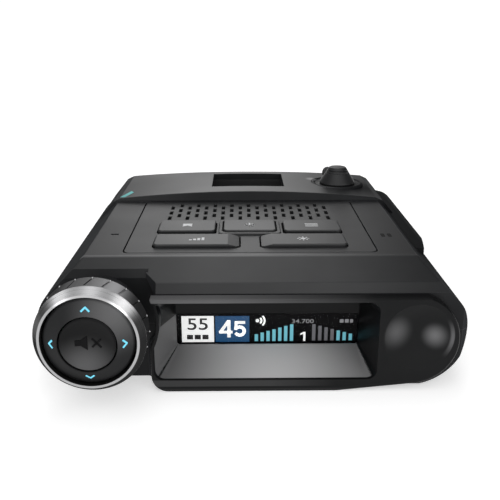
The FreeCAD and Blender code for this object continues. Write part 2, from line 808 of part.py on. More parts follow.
def make_key_switches():
    sheet_top = "key_pad_z - 0.55"
    sheet_low = "key_pad_z - 1.25"
    sheet = block("key_pad_sheet", (-30.6, 30.6), (-30.5, -1.2), (sheet_low, sheet_top))
    domes = []
    for name, (across, along) in KEYS.items():
        centre = (f"({across[0]} + {across[1]})/2", f"({along[0]} + {along[1]})/2")
        domes.append(rod(name + "_dome", "Z", centre, 2.2, sheet_low, "key_pad_z"))
    node("key_pad", join("key_pad", sheet, *domes))
    board = block("key_board_sheet", (-35, 35), (-31.0, -1.0), (f"{sheet_low} - 1.2", sheet_low))
    posts = []
    for side in (-1, 1):
        for y in (-29.9, -2.2):
            posts.append(rod(f"key_board_hole_{'left' if side < 0 else 'right'}_{'front' if y < -9 else 'rear'}",
                             "Z", (side * 32.8, y), 1.5, "key_pad_z - 1.9", 40))
    node("key_board", take("key_board", board, *posts))
    node("key_cable", block("key_cable", (-6, 6), (-31.3, -31.0), ("board_z + board_thick", "key_pad_z - 1.3")))


# ---- speaker ----

def speaker_turned(name, points):
    return turned(name, "Z", (0, "speaker_y", 0), points)


def make_speaker():
    node("speaker_basket", speaker_turned("speaker_basket", [
        (5.8, 24.5), (7.0, 24.5), ("speaker_r", 30.8), ("speaker_r", 32.5),
        ("speaker_r - 1.1", 32.5), ("speaker_r - 1.1", 31.3), (6.6, 25.7), (5.8, 25.7)]))
    node("speaker_cone", speaker_turned("speaker_cone", [
        (0, 27.6), (3.0, 27.1), (9.0, 31.5), (9.8, 31.5), (9.8, 31.9), (8.9, 31.95), (3.0, 27.6), (0, 28.1)]))
    node("speaker_magnet", rod("speaker_magnet", "Z", (0, "speaker_y"), 5.8, 20.3, 24.5))
    node("speaker_mesh", block("speaker_mesh", (-29, 29), (0.2, 21.8), (32.9, 33.4)))


# ---- dock ----

def make_dock():
    walls = block("dock_walls", ("-well_half - socket_wall", "well_half + socket_wall"),
                  ("well_front_y - socket_wall", "well_rear_y + socket_wall"),
                  ("well_floor_z - 1.6", "well_lip_z"))
    well = block("dock_well", ("-well_half", "well_half"), ("well_front_y", "well_rear_y"),
                 ("well_floor_z", 50))
    pins = []
    holes = []
    for step in range(6):
        x = 2.2 * (step - 2.5)
        pins.append(rod(f"dock_contact_{step}", "Z", (x, 37.2), 0.65,
                        "well_floor_z - 2.4", "well_floor_z + 0.25"))
        holes.append(rod(f"dock_contact_hole_{step}", "Z", (x, 37.2), 0.65, "well_floor_z - 3", 40))
    node("dock_socket", take("dock_socket", walls, well, *holes))
    node("dock_contacts", group("dock_contacts", *pins))
    magnets = []
    for side, x in (("left", -12), ("right", 4)):
        magnets.append(block(f"dock_magnet_{side}", (x, x + 8), (42, 52),
                             ("well_floor_z - 4", "well_floor_z - 1.6")))
    node("dock_magnets", group("dock_magnets", *magnets))


# ---- camera head ----

def camera_turned(name, points):
    return turned(name, "Z", ("camera_x", "camera_y", 0), points)


def make_collar():
    return node("camera_collar", camera_turned("camera_collar", [
        ("collar_r", 34.8), ("collar_sleeve_r", 34.8), ("collar_sleeve_r", 35.9), ("flange_r", 35.9),
        ("flange_r", 37.6), ("flange_r - 0.4", 38.15), ("flange_r - 0.9", 38.35), ("flange_r - 1.6", 38.0),
        (7.5, 37.9), ("collar_r", 37.9)]))


def lens_rod(name, radius, low, high):
    """A rod on the lens's axis, with its ends measured out from the turret's axis."""
    solid = doc.addObject("Part::Cylinder", name)
    swing = Rotation(Vector(0, 0, 1), number("camera_swing"))
    solid.Placement = Placement(Vector(), swing.multiply(ROD_TURNS["Y"]))
    bind(solid, "Radius", radius)
    bind(solid, "Height", f"({high}) - ({low})")
    place(solid, f"camera_x - ({low})*sin(camera_swing)", f"camera_y + ({low})*cos(camera_swing)", "barrel_z")
    return solid


def make_camera():
    body = camera_turned("turret_body", [
        (0, 34.4), (6.5, 34.4), (6.5, 38.2), ("neck_r", 38.2), ("neck_r", 38.6), ("neck_r - 0.2", 39.0),
        (4.6, 42.2), (4.35, 42.2), (4.35, 42.5), (4.4, 42.55), (4.1, 43.05), (0, 43.05)])
    bore = lens_rod("turret_lens_bore", "barrel_r", 2.6, 12)
    pocket = lens_rod("turret_sensor_pocket", 2.3, -1.6, 2.6)
    node("camera_turret", take("camera_turret", body, bore, pocket))
    node("turret_cap", camera_turned("turret_cap", [
        (0, 43.05), (3.6, 43.05), (3.6, 43.25), (3.95, 43.3), (3.35, 44.2), (3.1, 44.38), (0, 44.45)]))
    node("turret_ring", camera_turned("turret_ring", [(4.5, 33.7), (8.3, 33.7), (8.3, 34.4), (4.5, 34.4)]))
    barrel = lens_rod("barrel_blank", "barrel_r", 2.6, "barrel_reach")
    grips = []
    for step in range(4):
        start = f"barrel_reach - {0.9 + 0.8 * step}"
        ring = lens_rod(f"barrel_groove_{step}", 4, start, f"{start} + 0.35")
        core = lens_rod(f"barrel_core_{step}", "barrel_r - 0.22", f"{start} - 1", f"{start} + 1")
        grips.append(take(f"barrel_grip_{step}", ring, core))
    lens_hole = lens_rod("barrel_hole", "barrel_r - 0.7", 1, 12)
    node("lens_barrel", take("lens_barrel", barrel, lens_hole, *grips))
    node("camera_lens", lens_rod("camera_lens", "barrel_r - 0.7", "barrel_reach - 1.6", "barrel_reach - 0.5"))
    node("image_sensor", lens_rod("image_sensor", 1.9, -1.5, -0.6))


# ---- control knob ----

def knob_turned(name, points):
    return turned(name, "Y", ("knob_x", 0, "knob_z"), points)


def make_knob_base():
    node("knob_base", knob_turned("knob_base", [
        (7.6, "spindle_front_y"), ("spindle_r", "spindle_front_y"), ("spindle_r", "bay_wall_y - 3.4"),
        ("spindle_r + 0.7", "bay_wall_y - 2.4"), ("spindle_r + 0.7", "bay_wall_y"), (5, "bay_wall_y"),
        (5, "bay_wall_y - 2.2"), (7.6, "bay_wall_y - 2.2")]))
    clip = knob_turned("knob_clip_ring", [
        ("spindle_r", -55.8), (10.3, -55.8), (10.3, -55.25), ("spindle_r", -55.25)])
    clip_gap = block("knob_clip_gap", ("knob_x - 5", "knob_x + 5"), (-58, -54), ("knob_z - 14", "knob_z - 6"))
    node("knob_clip", take("knob_clip", clip, clip_gap))
    blank = block("encoder_blank", ("knob_x - 1.6", "knob_x + 1.6"), (-57.1, -55.25),
                  ("knob_z - 12", "knob_z - 9.2"))
    slot = block("encoder_slot", ("knob_x - 3", "knob_x + 3"), (-56.6, -55.6), ("knob_z - 15", "knob_z - 10.3"))
    spindle = knob_rod("encoder_spindle_space", "spindle_r", -60, -50)
    node("encoder_sensor", take("encoder_sensor", blank, slot, spindle))


def make_dial():
    """The dial that turns: sleeve with slanted grooves and studs, bevelled trim ring and encoder wheel."""
    blank = knob_turned("sleeve_blank", [
        ("spindle_r + running_gap", "sleeve_rear_y - 0.65"), ("sleeve_bore_r", "sleeve_rear_y - 0.65"),
        ("sleeve_bore_r", "sleeve_front_y"), ("sleeve_r", "sleeve_front_y"),
        ("sleeve_r", "sleeve_rear_y - 0.5"), ("sleeve_r - 0.5", "sleeve_rear_y"),
        ("spindle_r + running_gap", "sleeve_rear_y")][::-1])
    groove_y = number("sleeve_front_y + 0.7")
    stud_y = number("sleeve_rear_y - 1.0")
    radius = number("sleeve_r")
    slant = number("groove_lean")
    step_back = (stud_y - groove_y) * math.tan(math.radians(slant))
    grooves = []
    studs = []
    for step in range(STUDS):
        angle = 360 / STUDS * step + number("stud_start")
        groove = block(f"sleeve_groove_{step}", (0, 0.5), (0, "sleeve_rear_y - sleeve_front_y - 2.1"), (0, 1))
        grooves.append(around_knob(groove, angle, -0.25 - step_back, groove_y, radius - 0.35, -slant))
        stud = doc.addObject("Part::Sphere", f"knob_stud_{step}")
        stud.Radius = number("stud_r")
        studs.append(around_knob(stud, angle, 0, stud_y, radius))
    stud_group = node("knob_studs", group("knob_studs", *studs))
    node("knob_sleeve", take("knob_sleeve", blank, group("sleeve_grooves", *grooves), stud_group))
    node("knob_trim_ring", knob_turned("knob_trim_ring", [
        ("sleeve_bore_r", "face_y"), ("trim_lip_r", "face_y"), ("trim_r", "sleeve_front_y - 0.3"),
        ("trim_r", "sleeve_front_y"), ("sleeve_bore_r", "sleeve_front_y")]))
    wheel = knob_turned("encoder_ring", [
        (10.6, -56.3), ("sleeve_bore_r", -56.3), ("sleeve_bore_r", -55.9), (10.6, -55.9)])
    windows = []
    for step in range(ENCODER_SLOTS):
        window = block(f"encoder_window_{step}", (0, 0.7), (-57, -55), (0, 1.0))
        windows.append(around_knob(window, 360 / ENCODER_SLOTS * step, -0.35, -57, 11.0))
    node("encoder_wheel", take("encoder_wheel", wheel, group("encoder_windows", *windows)))


def make_pad():
    """The fixed board behind the pad, the gimbal that lets the pad rock, the pad and the centre key."""
    pivot = "pad_pivot_y"
    board = knob_turned("pad_board_disc", [
        (2.2, -58.4), (11.6, -58.4), (11.6, "spindle_front_y"), (2.2, "spindle_front_y")])
    domes = []
    posts = []
    for name, dx, dz in (("up", 0, 9.4), ("down", 0, -9.4), ("left", -9.4, 0), ("right", 9.4, 0)):
        domes.append(rod(f"pad_dome_{name}", "Y", (f"knob_x + {dx}", f"knob_z + {dz}"), 1.6, -58.65, -58.4))
    domes.append(knob_rod("mute_switch_dome", 1.5, -59.0, -58.4))
    node("dome_switches", group("dome_switches", *domes))
    for name, dx in (("left", -6.7), ("right", 6.7)):
        post = block(f"pad_post_block_{name}", (f"knob_x + {dx - 0.8}", f"knob_x + {dx + 0.8}"),
                     (f"{pivot} - 0.7", -58.4), ("knob_z - 0.9", "knob_z + 0.9"))
        hole = rod(f"pad_post_hole_{name}", "X", (pivot, "knob_z"), 0.45,
                   f"knob_x + {dx - 2}", f"knob_x + {dx + 2}")
        posts.append(take(f"pad_post_{name}", post, hole))
    node("pad_board", join("pad_board", board, *posts))
    node("mute_guide", knob_turned("mute_guide", [(2.1, -60.4), (3.2, -60.4), (3.2, -58.4), (2.1, -58.4)]))

    ring = knob_turned("gimbal_ring", [(8.2, -60.1), (11.2, -60.1), (11.2, -59.5), (8.2, -59.5)])
    pins = []
    for name, side in (("left", -1), ("right", 1)):
        ends = sorted((side * 6.2, side * 8.4))
        pins.append(rod(f"gimbal_pin_{name}", "X", (pivot, "knob_z"), 0.38,
                        f"knob_x + {ends[0]}", f"knob_x + {ends[1]}"))
    for name, side in (("low", -1), ("high", 1)):
        ends = sorted((side * 11.0, side * 11.85))
        pins.append(rod(f"gimbal_pin_{name}", "Z", ("knob_x", pivot), 0.35,
                        f"knob_z + {ends[0]}", f"knob_z + {ends[1]}"))
    node("pad_gimbal", join("pad_gimbal", ring, *pins))

    disc = knob_turned("pad_disc", [
        ("pad_hole_r", "pad_peak_y + 0.1"), ("pad_crest_r", "pad_peak_y"), ("pad_slope_r", "pad_rim_y"),
        ("pad_r", "pad_rim_y + 0.5"), ("pad_r", -60.9), ("pad_hole_r", -60.9)])
    lugs = []
    for name, side in (("low", -1), ("high", 1)):
        ends = sorted((side * 11.45, side * 11.98))
        lug = block(f"pad_lug_block_{name}", ("knob_x - 0.9", "knob_x + 0.9"), (-61.2, f"{pivot} + 0.7"),
                    (f"knob_z + {ends[0]}", f"knob_z + {ends[1]}"))
        hole = rod(f"pad_lug_hole_{name}", "Z", ("knob_x", pivot), 0.42,
                   f"knob_z + {ends[0] - 1}", f"knob_z + {ends[1] + 1}")
        lugs.append(take(f"pad_lug_{name}", lug, hole))
    arrows = []
    for name, angle in (("up", 0), ("right", 90), ("down", 180), ("left", 270)):
        arrows.append(arrow(name, angle))
    lights = node("arrow_lights", group("arrow_lights", *arrows))
    node("direction_pad", take("direction_pad", join("pad_body", disc, *lugs), lights))

    node("mute_key", knob_turned("mute_key", [
        (0, "pad_peak_y + 1.35", -18.5), (7.05, "pad_peak_y"), ("mute_r", "pad_peak_y + 0.25"), ("mute_r", -61.3),
        (2.0, -61.3), (2.0, -59.95), (0, -59.95)]))


def arrow(name, angle):
    """A chevron that points away from the knob's axis, made of two bars set flush in the sloping pad."""
    slope = number("pad_rim_y - pad_peak_y") / number("pad_slope_r - pad_crest_r")
    tilt = math.degrees(math.atan(slope))
    middle = number("arrow_r")
    depth = number("pad_peak_y - arrow_proud") + slope * (middle - number("pad_crest_r"))
    axis = Placement(Vector(number("knob_x"), 0, number("knob_z")), Rotation(Vector(0, 1, 0), angle))
    face = axis.multiply(Placement(Vector(0, depth, middle), Rotation(Vector(1, 0, 0), -tilt)))
    bars = []
    for side in (-1, 1):
        bar = doc.addObject("Part::Box", f"arrow_{name}_{'left' if side < 0 else 'right'}")
        bar.Length = 0.48
        bar.Width = 0.6
        bar.Height = 1.65
        lean = Rotation(Vector(0, 1, 0), side * 135)
        corner = Vector(0, 0, 0.6) + lean.multVec(Vector(-0.24, 0, -0.1))
        bar.Placement = face.multiply(Placement(corner, lean))
        bars.append(bar)
    return join("arrow_" + name, *bars)


# ---- boards, radar and laser parts ----

def make_main_board():
    top = "board_z + board_thick"
    sheet = block("main_board_sheet", ("-board_half", "board_half"), ("board_front_y", "board_rear_y"),
                  ("board_z", top))
    holes = []
    for name, x, y, _ in BOSSES[:2]:
        holes.append(rod(f"main_board_hole_{name}", "Z", (x, y), "boss_r + 0.3", 0, 20))
    for name, x, y in BOARD_POSTS:
        holes.append(rod(f"main_board_screw_hole_{name}", "Z", (x, y), 0.9, 0, 20))
    node("main_board", take("main_board", sheet, *holes))
    cans = [
        block("can_left", (-36, -12), (-27, -8), (top, 14.2)),
        block("can_middle", (-7, 15), (-28, -10), (top, 14.2)),
        block("can_right", (19, 35.5), (-26, -7), (top, 14.2)),
    ]
    node("shield_cans", group("shield_cans", *cans))
    node("heat_spreader", block("heat_spreader", (-36, 36), (-30, -7), (14.2, 15.4)))
    node("backup_cell", rod("backup_cell", "X", (6, f"{top} + 4"), 4, -38.5, -21.5))


def horn(name, throat, throat_y, mouth, mouth_y):
    """A flared metal horn, open at its mouth and at its throat."""
    outer = tapered(name + "_outer", throat, throat_y, mouth, mouth_y)

    def thinner(opening):
        across, up, _ = opening
        return ((across[0] + 1, across[1] - 1), (up[0] + 1, up[1] - 1), 0.4)

    inner = tapered(name + "_inner", thinner(throat), throat_y, thinner(mouth), mouth_y)
    return node(name, take(name, outer, inner))


def make_radar():
    top = "board_z + board_thick"
    horn("road_horn", ((-34, -26), (17, 25), 0.8), 24, ((-44, -17), (12.4, 31.6), 1.6), 60)
    horn("cabin_horn", ((26, 34), (16, 24), 0.8), 20, ((19, 41), (12.2, 29.5), 1.6), -3)
    core = block("receiver_core", (-14, 14), (2, 30), (top, 18.4))
    road_arm = block("receiver_road_arm", (-34, -13), (15, 24), (top, 17.2))
    road_guide = block("receiver_road_guide", (-34, -26), (15, 24), (top, 25))
    cabin_arm = block("receiver_cabin_arm", (13, 34), (20, 29), (top, 17.2))
    cabin_guide = block("receiver_cabin_guide", (26, 34), (20, 29), (top, 24))
    ribs = []
    for step in range(5):
        x = -11 + 5 * step
        ribs.append(block(f"receiver_rib_gap_{step}", (x, x + 2.4), (4, 28), (17, 20)))
    body = join("receiver_body", core, road_arm, road_guide, cabin_arm, cabin_guide)
    node("radar_receiver", take("radar_receiver", body, *ribs))


def make_laser():
    node("laser_window", prism("laser_window", "XZ", rounded(
        ("-laser_half", "laser_half"), ("laser_low_z", "laser_high_z"), 1.5), "rear_y - 1.7", "rear_y - 0.25"))
    node("laser_board", block("laser_board", (-12, 12), (55.9, 57.1), (18.8, 28.8)))
    lenses = []
    for step in range(3):
        lenses.append(rod(f"laser_lens_{step}", "Y", (7.2 * (step - 1), 23.8), 2.7, 57.1, 61.4))
    node("laser_lenses", group("laser_lenses", *lenses))


def make_side_parts():
    node("microphones", group(
        "microphones",
        rod("microphone_left", "Z", (-42.6, -15.5), 2.2, 31.4, "plate_z - wall"),
        rod("microphone_right", "Z", (42.8, -17.3), 2.2, 31.4, "plate_z - wall")))
    cage = block("card_cage", (43.2, 51.9), ("card_front_y - 0.9", "card_rear_y + 0.9"),
                 ("card_z - 0.8", "card_z + card_thick + 0.8"))
    room = block("card_room", (43.6, FAR), ("card_front_y - 0.3", "card_rear_y + 0.3"),
                 ("card_z - 0.3", "card_z + card_thick + 0.3"))
    node("card_slot", take("card_slot", cage, room))
    node("memory_card", block("memory_card", ("card_end_x - card_long", "card_end_x"),
                              ("card_front_y", "card_rear_y"), ("card_z", "card_z + card_thick")))
    shell = prism("port_shell", "YZ", rounded(
        ("port_front_y", "port_rear_y"), ("port_low_z", "port_high_z"), 1.5), 49, 58.6)
    room = prism("port_room", "YZ", rounded(
        ("port_front_y + 0.35", "port_rear_y - 0.35"), ("port_low_z + 0.35", "port_high_z - 0.35"), 1.2), 49.8, FAR)
    tongue = block("port_tongue", (49.5, 57.4), ("port_front_y + 1.6", "port_rear_y - 1.6"), (26.75, 27.45))
    node("service_port", join("service_port", take("port_cup", shell, room), tongue))


def check_document():
    doc.recompute()
    for item in doc.Objects:
        if "Invalid" in item.State or "Error" in item.State:
            raise RuntimeError(f"{item.Name} failed: {item.State}")
    for name, item in nodes.items():
        if item.Shape.isNull() or not item.Shape.isValid():
            raise RuntimeError(f"{name} has a bad shape")


def export_parts():
    os.makedirs("parts", exist_ok=True)
    for name, item in nodes.items():
        item.Shape.exportStep(f"parts/{name}.step")
        box = item.Shape.optimalBoundingBox()
        print(f"{name:18} solids {len(item.Shape.Solids):3} volume {item.Shape.Volume:9.1f}",
              f"x {box.XMin:6.1f} {box.XMax:6.1f} y {box.YMin:6.1f} {box.YMax:6.1f} z {box.ZMin:5.1f} {box.ZMax:5.1f}")


fill_sheet()
make_housing(make_collar())
make_screws()
make_bezel()
make_display()
make_keys()
make_key_panel()
make_key_switches()
make_speaker()
make_dock()
make_camera()
make_knob_base()
make_dial()
make_pad()
make_main_board()
make_radar()
make_laser()
make_side_parts()
check_document()
export_parts()
print(len(nodes), "nodes")
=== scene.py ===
import json
import math

import bmesh
import bpy
from mathutils import Matrix, Vector


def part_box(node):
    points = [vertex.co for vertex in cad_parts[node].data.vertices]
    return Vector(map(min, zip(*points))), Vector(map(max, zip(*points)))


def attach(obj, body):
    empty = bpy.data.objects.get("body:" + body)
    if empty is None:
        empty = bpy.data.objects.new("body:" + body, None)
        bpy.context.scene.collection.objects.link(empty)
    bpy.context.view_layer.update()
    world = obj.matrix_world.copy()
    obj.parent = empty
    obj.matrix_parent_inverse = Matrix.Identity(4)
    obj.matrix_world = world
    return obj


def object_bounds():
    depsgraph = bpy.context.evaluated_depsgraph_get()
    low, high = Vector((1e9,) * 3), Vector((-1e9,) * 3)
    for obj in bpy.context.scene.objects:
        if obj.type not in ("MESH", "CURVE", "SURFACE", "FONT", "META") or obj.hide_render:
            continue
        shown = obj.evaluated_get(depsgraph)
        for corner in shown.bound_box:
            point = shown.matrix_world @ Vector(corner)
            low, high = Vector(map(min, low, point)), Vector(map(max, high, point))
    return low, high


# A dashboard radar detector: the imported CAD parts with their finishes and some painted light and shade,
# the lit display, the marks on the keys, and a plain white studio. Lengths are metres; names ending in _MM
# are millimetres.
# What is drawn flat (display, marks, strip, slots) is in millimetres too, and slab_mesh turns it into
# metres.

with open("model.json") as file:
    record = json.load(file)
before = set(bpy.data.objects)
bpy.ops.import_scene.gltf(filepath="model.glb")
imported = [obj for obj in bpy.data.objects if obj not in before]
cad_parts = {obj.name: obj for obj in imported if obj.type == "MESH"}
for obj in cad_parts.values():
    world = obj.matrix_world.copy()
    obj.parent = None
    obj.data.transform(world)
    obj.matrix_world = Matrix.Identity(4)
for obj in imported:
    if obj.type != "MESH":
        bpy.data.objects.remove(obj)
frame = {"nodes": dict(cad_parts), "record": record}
cad_low, cad_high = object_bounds()
NODES = frame["nodes"]
MM = 0.001


# ---- node helpers ----

def new_material(name):
    material = bpy.data.materials.new(name)
    material.use_nodes = True
    tree = material.node_tree
    shader = tree.nodes["Principled BSDF"]
    return material, tree, shader


def add(tree, kind, **settings):
    """A shader node with some of its settings and unlinked inputs set."""
    made = tree.nodes.new(kind)
    for key, value in settings.items():
        if key in made.inputs:
            made.inputs[key].default_value = value
        else:
            setattr(made, key, value)
    return made


def place_in(tree, scale=(1, 1, 1)):
    """The surface's place in the object's own frame, in metres, stretched by scale."""
    place = tree.nodes.new("ShaderNodeTexCoord")
    stretch = tree.nodes.new("ShaderNodeMapping")
    stretch.inputs["Scale"].default_value = scale
    tree.links.new(place.outputs["Object"], stretch.inputs["Vector"])
    return stretch.outputs["Vector"]


def place_split(tree):
    """The surface's place in the object's own frame, split into X, Y and Z."""
    split = tree.nodes.new("ShaderNodeSeparateXYZ")
    tree.links.new(place_in(tree), split.inputs["Vector"])
    return split


def noise(tree, vector, scale, detail=2.0, rough=0.5):
    made = add(tree, "ShaderNodeTexNoise")
    made.inputs["Scale"].default_value = scale
    made.inputs["Detail"].default_value = detail
    made.inputs["Roughness"].default_value = rough
    tree.links.new(vector, made.inputs["Vector"])
    return made.outputs["Fac"]


def ranged(tree, value, low, high, from_low=0.3, from_high=0.7):
    made = tree.nodes.new("ShaderNodeMapRange")
    made.inputs["From Min"].default_value = from_low
    made.inputs["From Max"].default_value = from_high
    made.inputs["To Min"].default_value = low
    made.inputs["To Max"].default_value = high
    tree.links.new(value, made.inputs["Value"])
    return made.outputs["Result"]


def blended(tree, factor, first, second):
    """A colour between first and second. Each is a colour or another node's output."""
    made = tree.nodes.new("ShaderNodeMix")
    made.data_type = "RGBA"
    tree.links.new(factor, made.inputs["Factor"])
    for socket, value in ((made.inputs[6], first), (made.inputs[7], second)):
        if isinstance(value, bpy.types.NodeSocket):
            tree.links.new(value, socket)
        else:
            socket.default_value = (*value, 1.0)
    return made.outputs[2]


def edge_mask(tree, radius):
    """1 along sharp edges and 0 on flat and gently curved faces."""
    soft = tree.nodes.new("ShaderNodeBevel")
    soft.samples = 4
    soft.inputs["Radius"].default_value = radius
    plain = tree.nodes.new("ShaderNodeNewGeometry")
    dot = tree.nodes.new("ShaderNodeVectorMath")
    dot.operation = "DOT_PRODUCT"
    tree.links.new(soft.outputs["Normal"], dot.inputs[0])
    tree.links.new(plain.outputs["Normal"], dot.inputs[1])
    return soft.outputs["Normal"], ranged(tree, dot.outputs["Value"], 1.0, 0.0, 0.86, 0.995)


def bump(tree, height, strength, distance, normal=None):
    made = tree.nodes.new("ShaderNodeBump")
    made.inputs["Strength"].default_value = strength
    made.inputs["Distance"].default_value = distance
    tree.links.new(height, made.inputs["Height"])
    if normal is not None:
        tree.links.new(normal, made.inputs["Normal"])
    return made.outputs["Normal"]


# ---- finishes and painted light ----

def facing(tree):
    """The direction in which a face looks, split into X, Y and Z."""
    surface = tree.nodes.new("ShaderNodeNewGeometry")
    split = tree.nodes.new("ShaderNodeSeparateXYZ")
    tree.links.new(surface.outputs["True Normal"], split.inputs["Vector"])
    return split


def sideways(tree):
    """Near 1 on faces that look to the left or the right, 0 on the others."""
    size = add(tree, "ShaderNodeMath", operation="ABSOLUTE")
    tree.links.new(facing(tree).outputs["X"], size.inputs[0])
    return ranged(tree, size.outputs[0], 0.0, 0.95, 0.15, 0.5)


def times(tree, *values):
    """The product of several outputs."""
    total = values[0]
    for value in values[1:]:
        made = add(tree, "ShaderNodeMath", operation="MULTIPLY")
        tree.links.new(total, made.inputs[0])
        tree.links.new(value, made.inputs[1])
        total = made.outputs[0]
    return total


def larger(tree, first, second):
    """The larger of two outputs."""
    made = add(tree, "ShaderNodeMath", operation="MAXIMUM")
    tree.links.new(first, made.inputs[0])
    tree.links.new(second, made.inputs[1])
    return made.outputs[0]


def matte_where(tree, shader, amount, gain=1.0):
    """The surface turns matte where amount is near 1, as deeper grain does. Gain scales its colour there."""
    matte = tree.nodes.new("ShaderNodeBsdfDiffuse")
    scaled = add(tree, "ShaderNodeVectorMath", operation="SCALE", Scale=gain)
    tree.links.new(shader.inputs["Base Color"].links[0].from_socket, scaled.inputs[0])
    tree.links.new(scaled.outputs["Vector"], matte.inputs["Color"])
    tree.links.new(shader.inputs["Normal"].links[0].from_socket, matte.inputs["Normal"])
    both = tree.nodes.new("ShaderNodeMixShader")
    tree.links.new(amount, both.inputs["Fac"])
    tree.links.new(shader.outputs["BSDF"], both.inputs[1])
    tree.links.new(matte.outputs["BSDF"], both.inputs[2])
    tree.links.new(both.outputs["Shader"], tree.nodes["Material Output"].inputs["Surface"])


def housing_plastic_and_painted_light(name):
    """Satin charcoal, glossiest in the middle of the top.

    It is duller to both sides, on the deck's riser and on the front lip. Painted shade darkens the right
    flank and the deck's right rear corner; painted highlights lie along the crest of the slope and by the
    camera's collar.
    """
    # The colours below: a painted highlight for the slope's crest, a painted highlight beside the camera's
    # collar, and painted shade.
    crest_highlight_grey, collar_highlight_grey, shaded = (0.085, 0.086, 0.088), (0.28, 0.28, 0.283), (0.006, 0.0062, 0.0066)
    material = moulded(name, (0.014, 0.0145, 0.0155), 0.37, 0.3, edge_wear_and_glint=0.9)
    tree = material.node_tree
    shader = tree.nodes["Principled BSDF"]
    split = place_split(tree)
    normal = facing(tree)
    right = ranged(tree, split.outputs["X"], 0.0, 1.0, 22.0 * MM, 58.0 * MM)
    left = ranged(tree, split.outputs["X"], 0.0, 0.55, -12.0 * MM, -46.0 * MM)
    riser = times(
        tree, ranged(tree, normal.outputs["Y"], 0.0, 1.0, -0.3, -0.5),
        ranged(tree, split.outputs["Y"], 0.0, 1.0, 0.0, 5.0 * MM),
        ranged(tree, split.outputs["X"], 0.2, 1.0, -45.0 * MM, -15.0 * MM))
    lip = times(
        tree, ranged(tree, normal.outputs["Y"], 0.0, 0.6, -0.8, -0.95),
        ranged(tree, split.outputs["Y"], 1.0, 0.0, -5.0 * MM, 0.0),
        ranged(tree, split.outputs["X"], 1.0, 0.0, -10.0 * MM, 20.0 * MM))
    dull = right
    for part in (left, riser, lip):
        both = add(tree, "ShaderNodeMath", operation="ADD", use_clamp=True)
        tree.links.new(dull, both.inputs[0])
        tree.links.new(part, both.inputs[1])
        dull = both.outputs[0]
    tree.links.new(ranged(tree, dull, 0.5, 0.1, 0.0, 1.0), shader.inputs["Specular IOR Level"])
    plain = shader.inputs["Base Color"].links[0].from_socket
    # Painted shade on the right flank and on the deck to the right of the camera's collar.
    side = times(
        tree, ranged(tree, split.outputs["X"], 0.0, 1.0, 49.0 * MM, 51.0 * MM),
        ranged(tree, split.outputs["Y"], 0.0, 1.0, -45.0 * MM, -20.0 * MM))
    on_deck = ranged(tree, split.outputs["Y"], 0.0, 1.0, 24.0 * MM, 25.5 * MM)
    corner = times(tree, on_deck, near(tree, split, (44.0 * MM, 39.0 * MM), 20.0 * MM, up="Y"))
    # Painted highlight on the deck beside the left of the camera's collar.
    sheen = times(tree, on_deck, near(tree, split, (25.4 * MM, 49.0 * MM), 3.4 * MM, 0.8, up="Y"))
    dimmed = larger(tree, side, corner)
    # Painted highlight along the crest where the top plate meets the front slope.
    crest = times(
        tree, ranged(tree, split.outputs["Y"], 0.0, 1.0, -36.90 * MM, -36.70 * MM),
        ranged(tree, split.outputs["Y"], 1.0, 0.0, -35.70 * MM, -35.20 * MM),
        ranged(tree, split.outputs["Z"], 0.0, 1.0, 34.4 * MM, 34.8 * MM),
        ranged(tree, split.outputs["X"], 1.0, 0.2, 0.0, 44.0 * MM))
    crested = blended(tree, sheen, blended(tree, crest, plain, crest_highlight_grey), collar_highlight_grey)
    tree.links.new(blended(tree, dimmed, crested, shaded), shader.inputs["Base Color"])
    matte = larger(tree, ranged(tree, dimmed, 0.0, 0.75, 0.0, 1.0), sideways(tree))
    matte_where(tree, shader, matte, 2.0)
    return material


def moulded(name, colour, roughness, grain=0.25, specular=0.5, edge_wear_and_glint=0.35):
    """Moulded plastic: fine spark-eroded grain, slight mottling, and paler edges: rubbed in handled patches,
    with a painted highlight along every sharp edge.
    """
    grain_size, edge = 0.35 * MM, 0.3 * MM
    material, tree, shader = new_material(name)
    where = place_in(tree)
    speckle = noise(tree, where, 1 / grain_size, 2.0, 0.6)
    mottle = noise(tree, where, 90.0, 3.0)
    handled = noise(tree, where, 28.0, 2.0)
    dark = tuple(channel * 0.86 for channel in colour)
    light = tuple(channel * 1.16 for channel in colour)
    # Paler edges: rubbed in handled patches, and a painted highlight along every sharp edge.
    rubbed_and_highlit_edge = tuple(min(1.0, channel * (1 + 1.4 * edge_wear_and_glint) + 0.02 * edge_wear_and_glint) for channel in colour)
    body = blended(tree, ranged(tree, mottle, 0.0, 1.0), dark, light)
    soft_normal, edges = edge_mask(tree, edge)
    patchy = times(tree, edges, ranged(tree, handled, 0.35, 1.0))
    tree.links.new(blended(tree, patchy, body, rubbed_and_highlit_edge), shader.inputs["Base Color"])
    tree.links.new(ranged(tree, handled, roughness * 0.92, roughness * 1.08), shader.inputs["Roughness"])
    tree.links.new(bump(tree, speckle, grain, 0.03 * MM, soft_normal), shader.inputs["Normal"])
    shader.inputs["Specular IOR Level"].default_value = specular
    return material


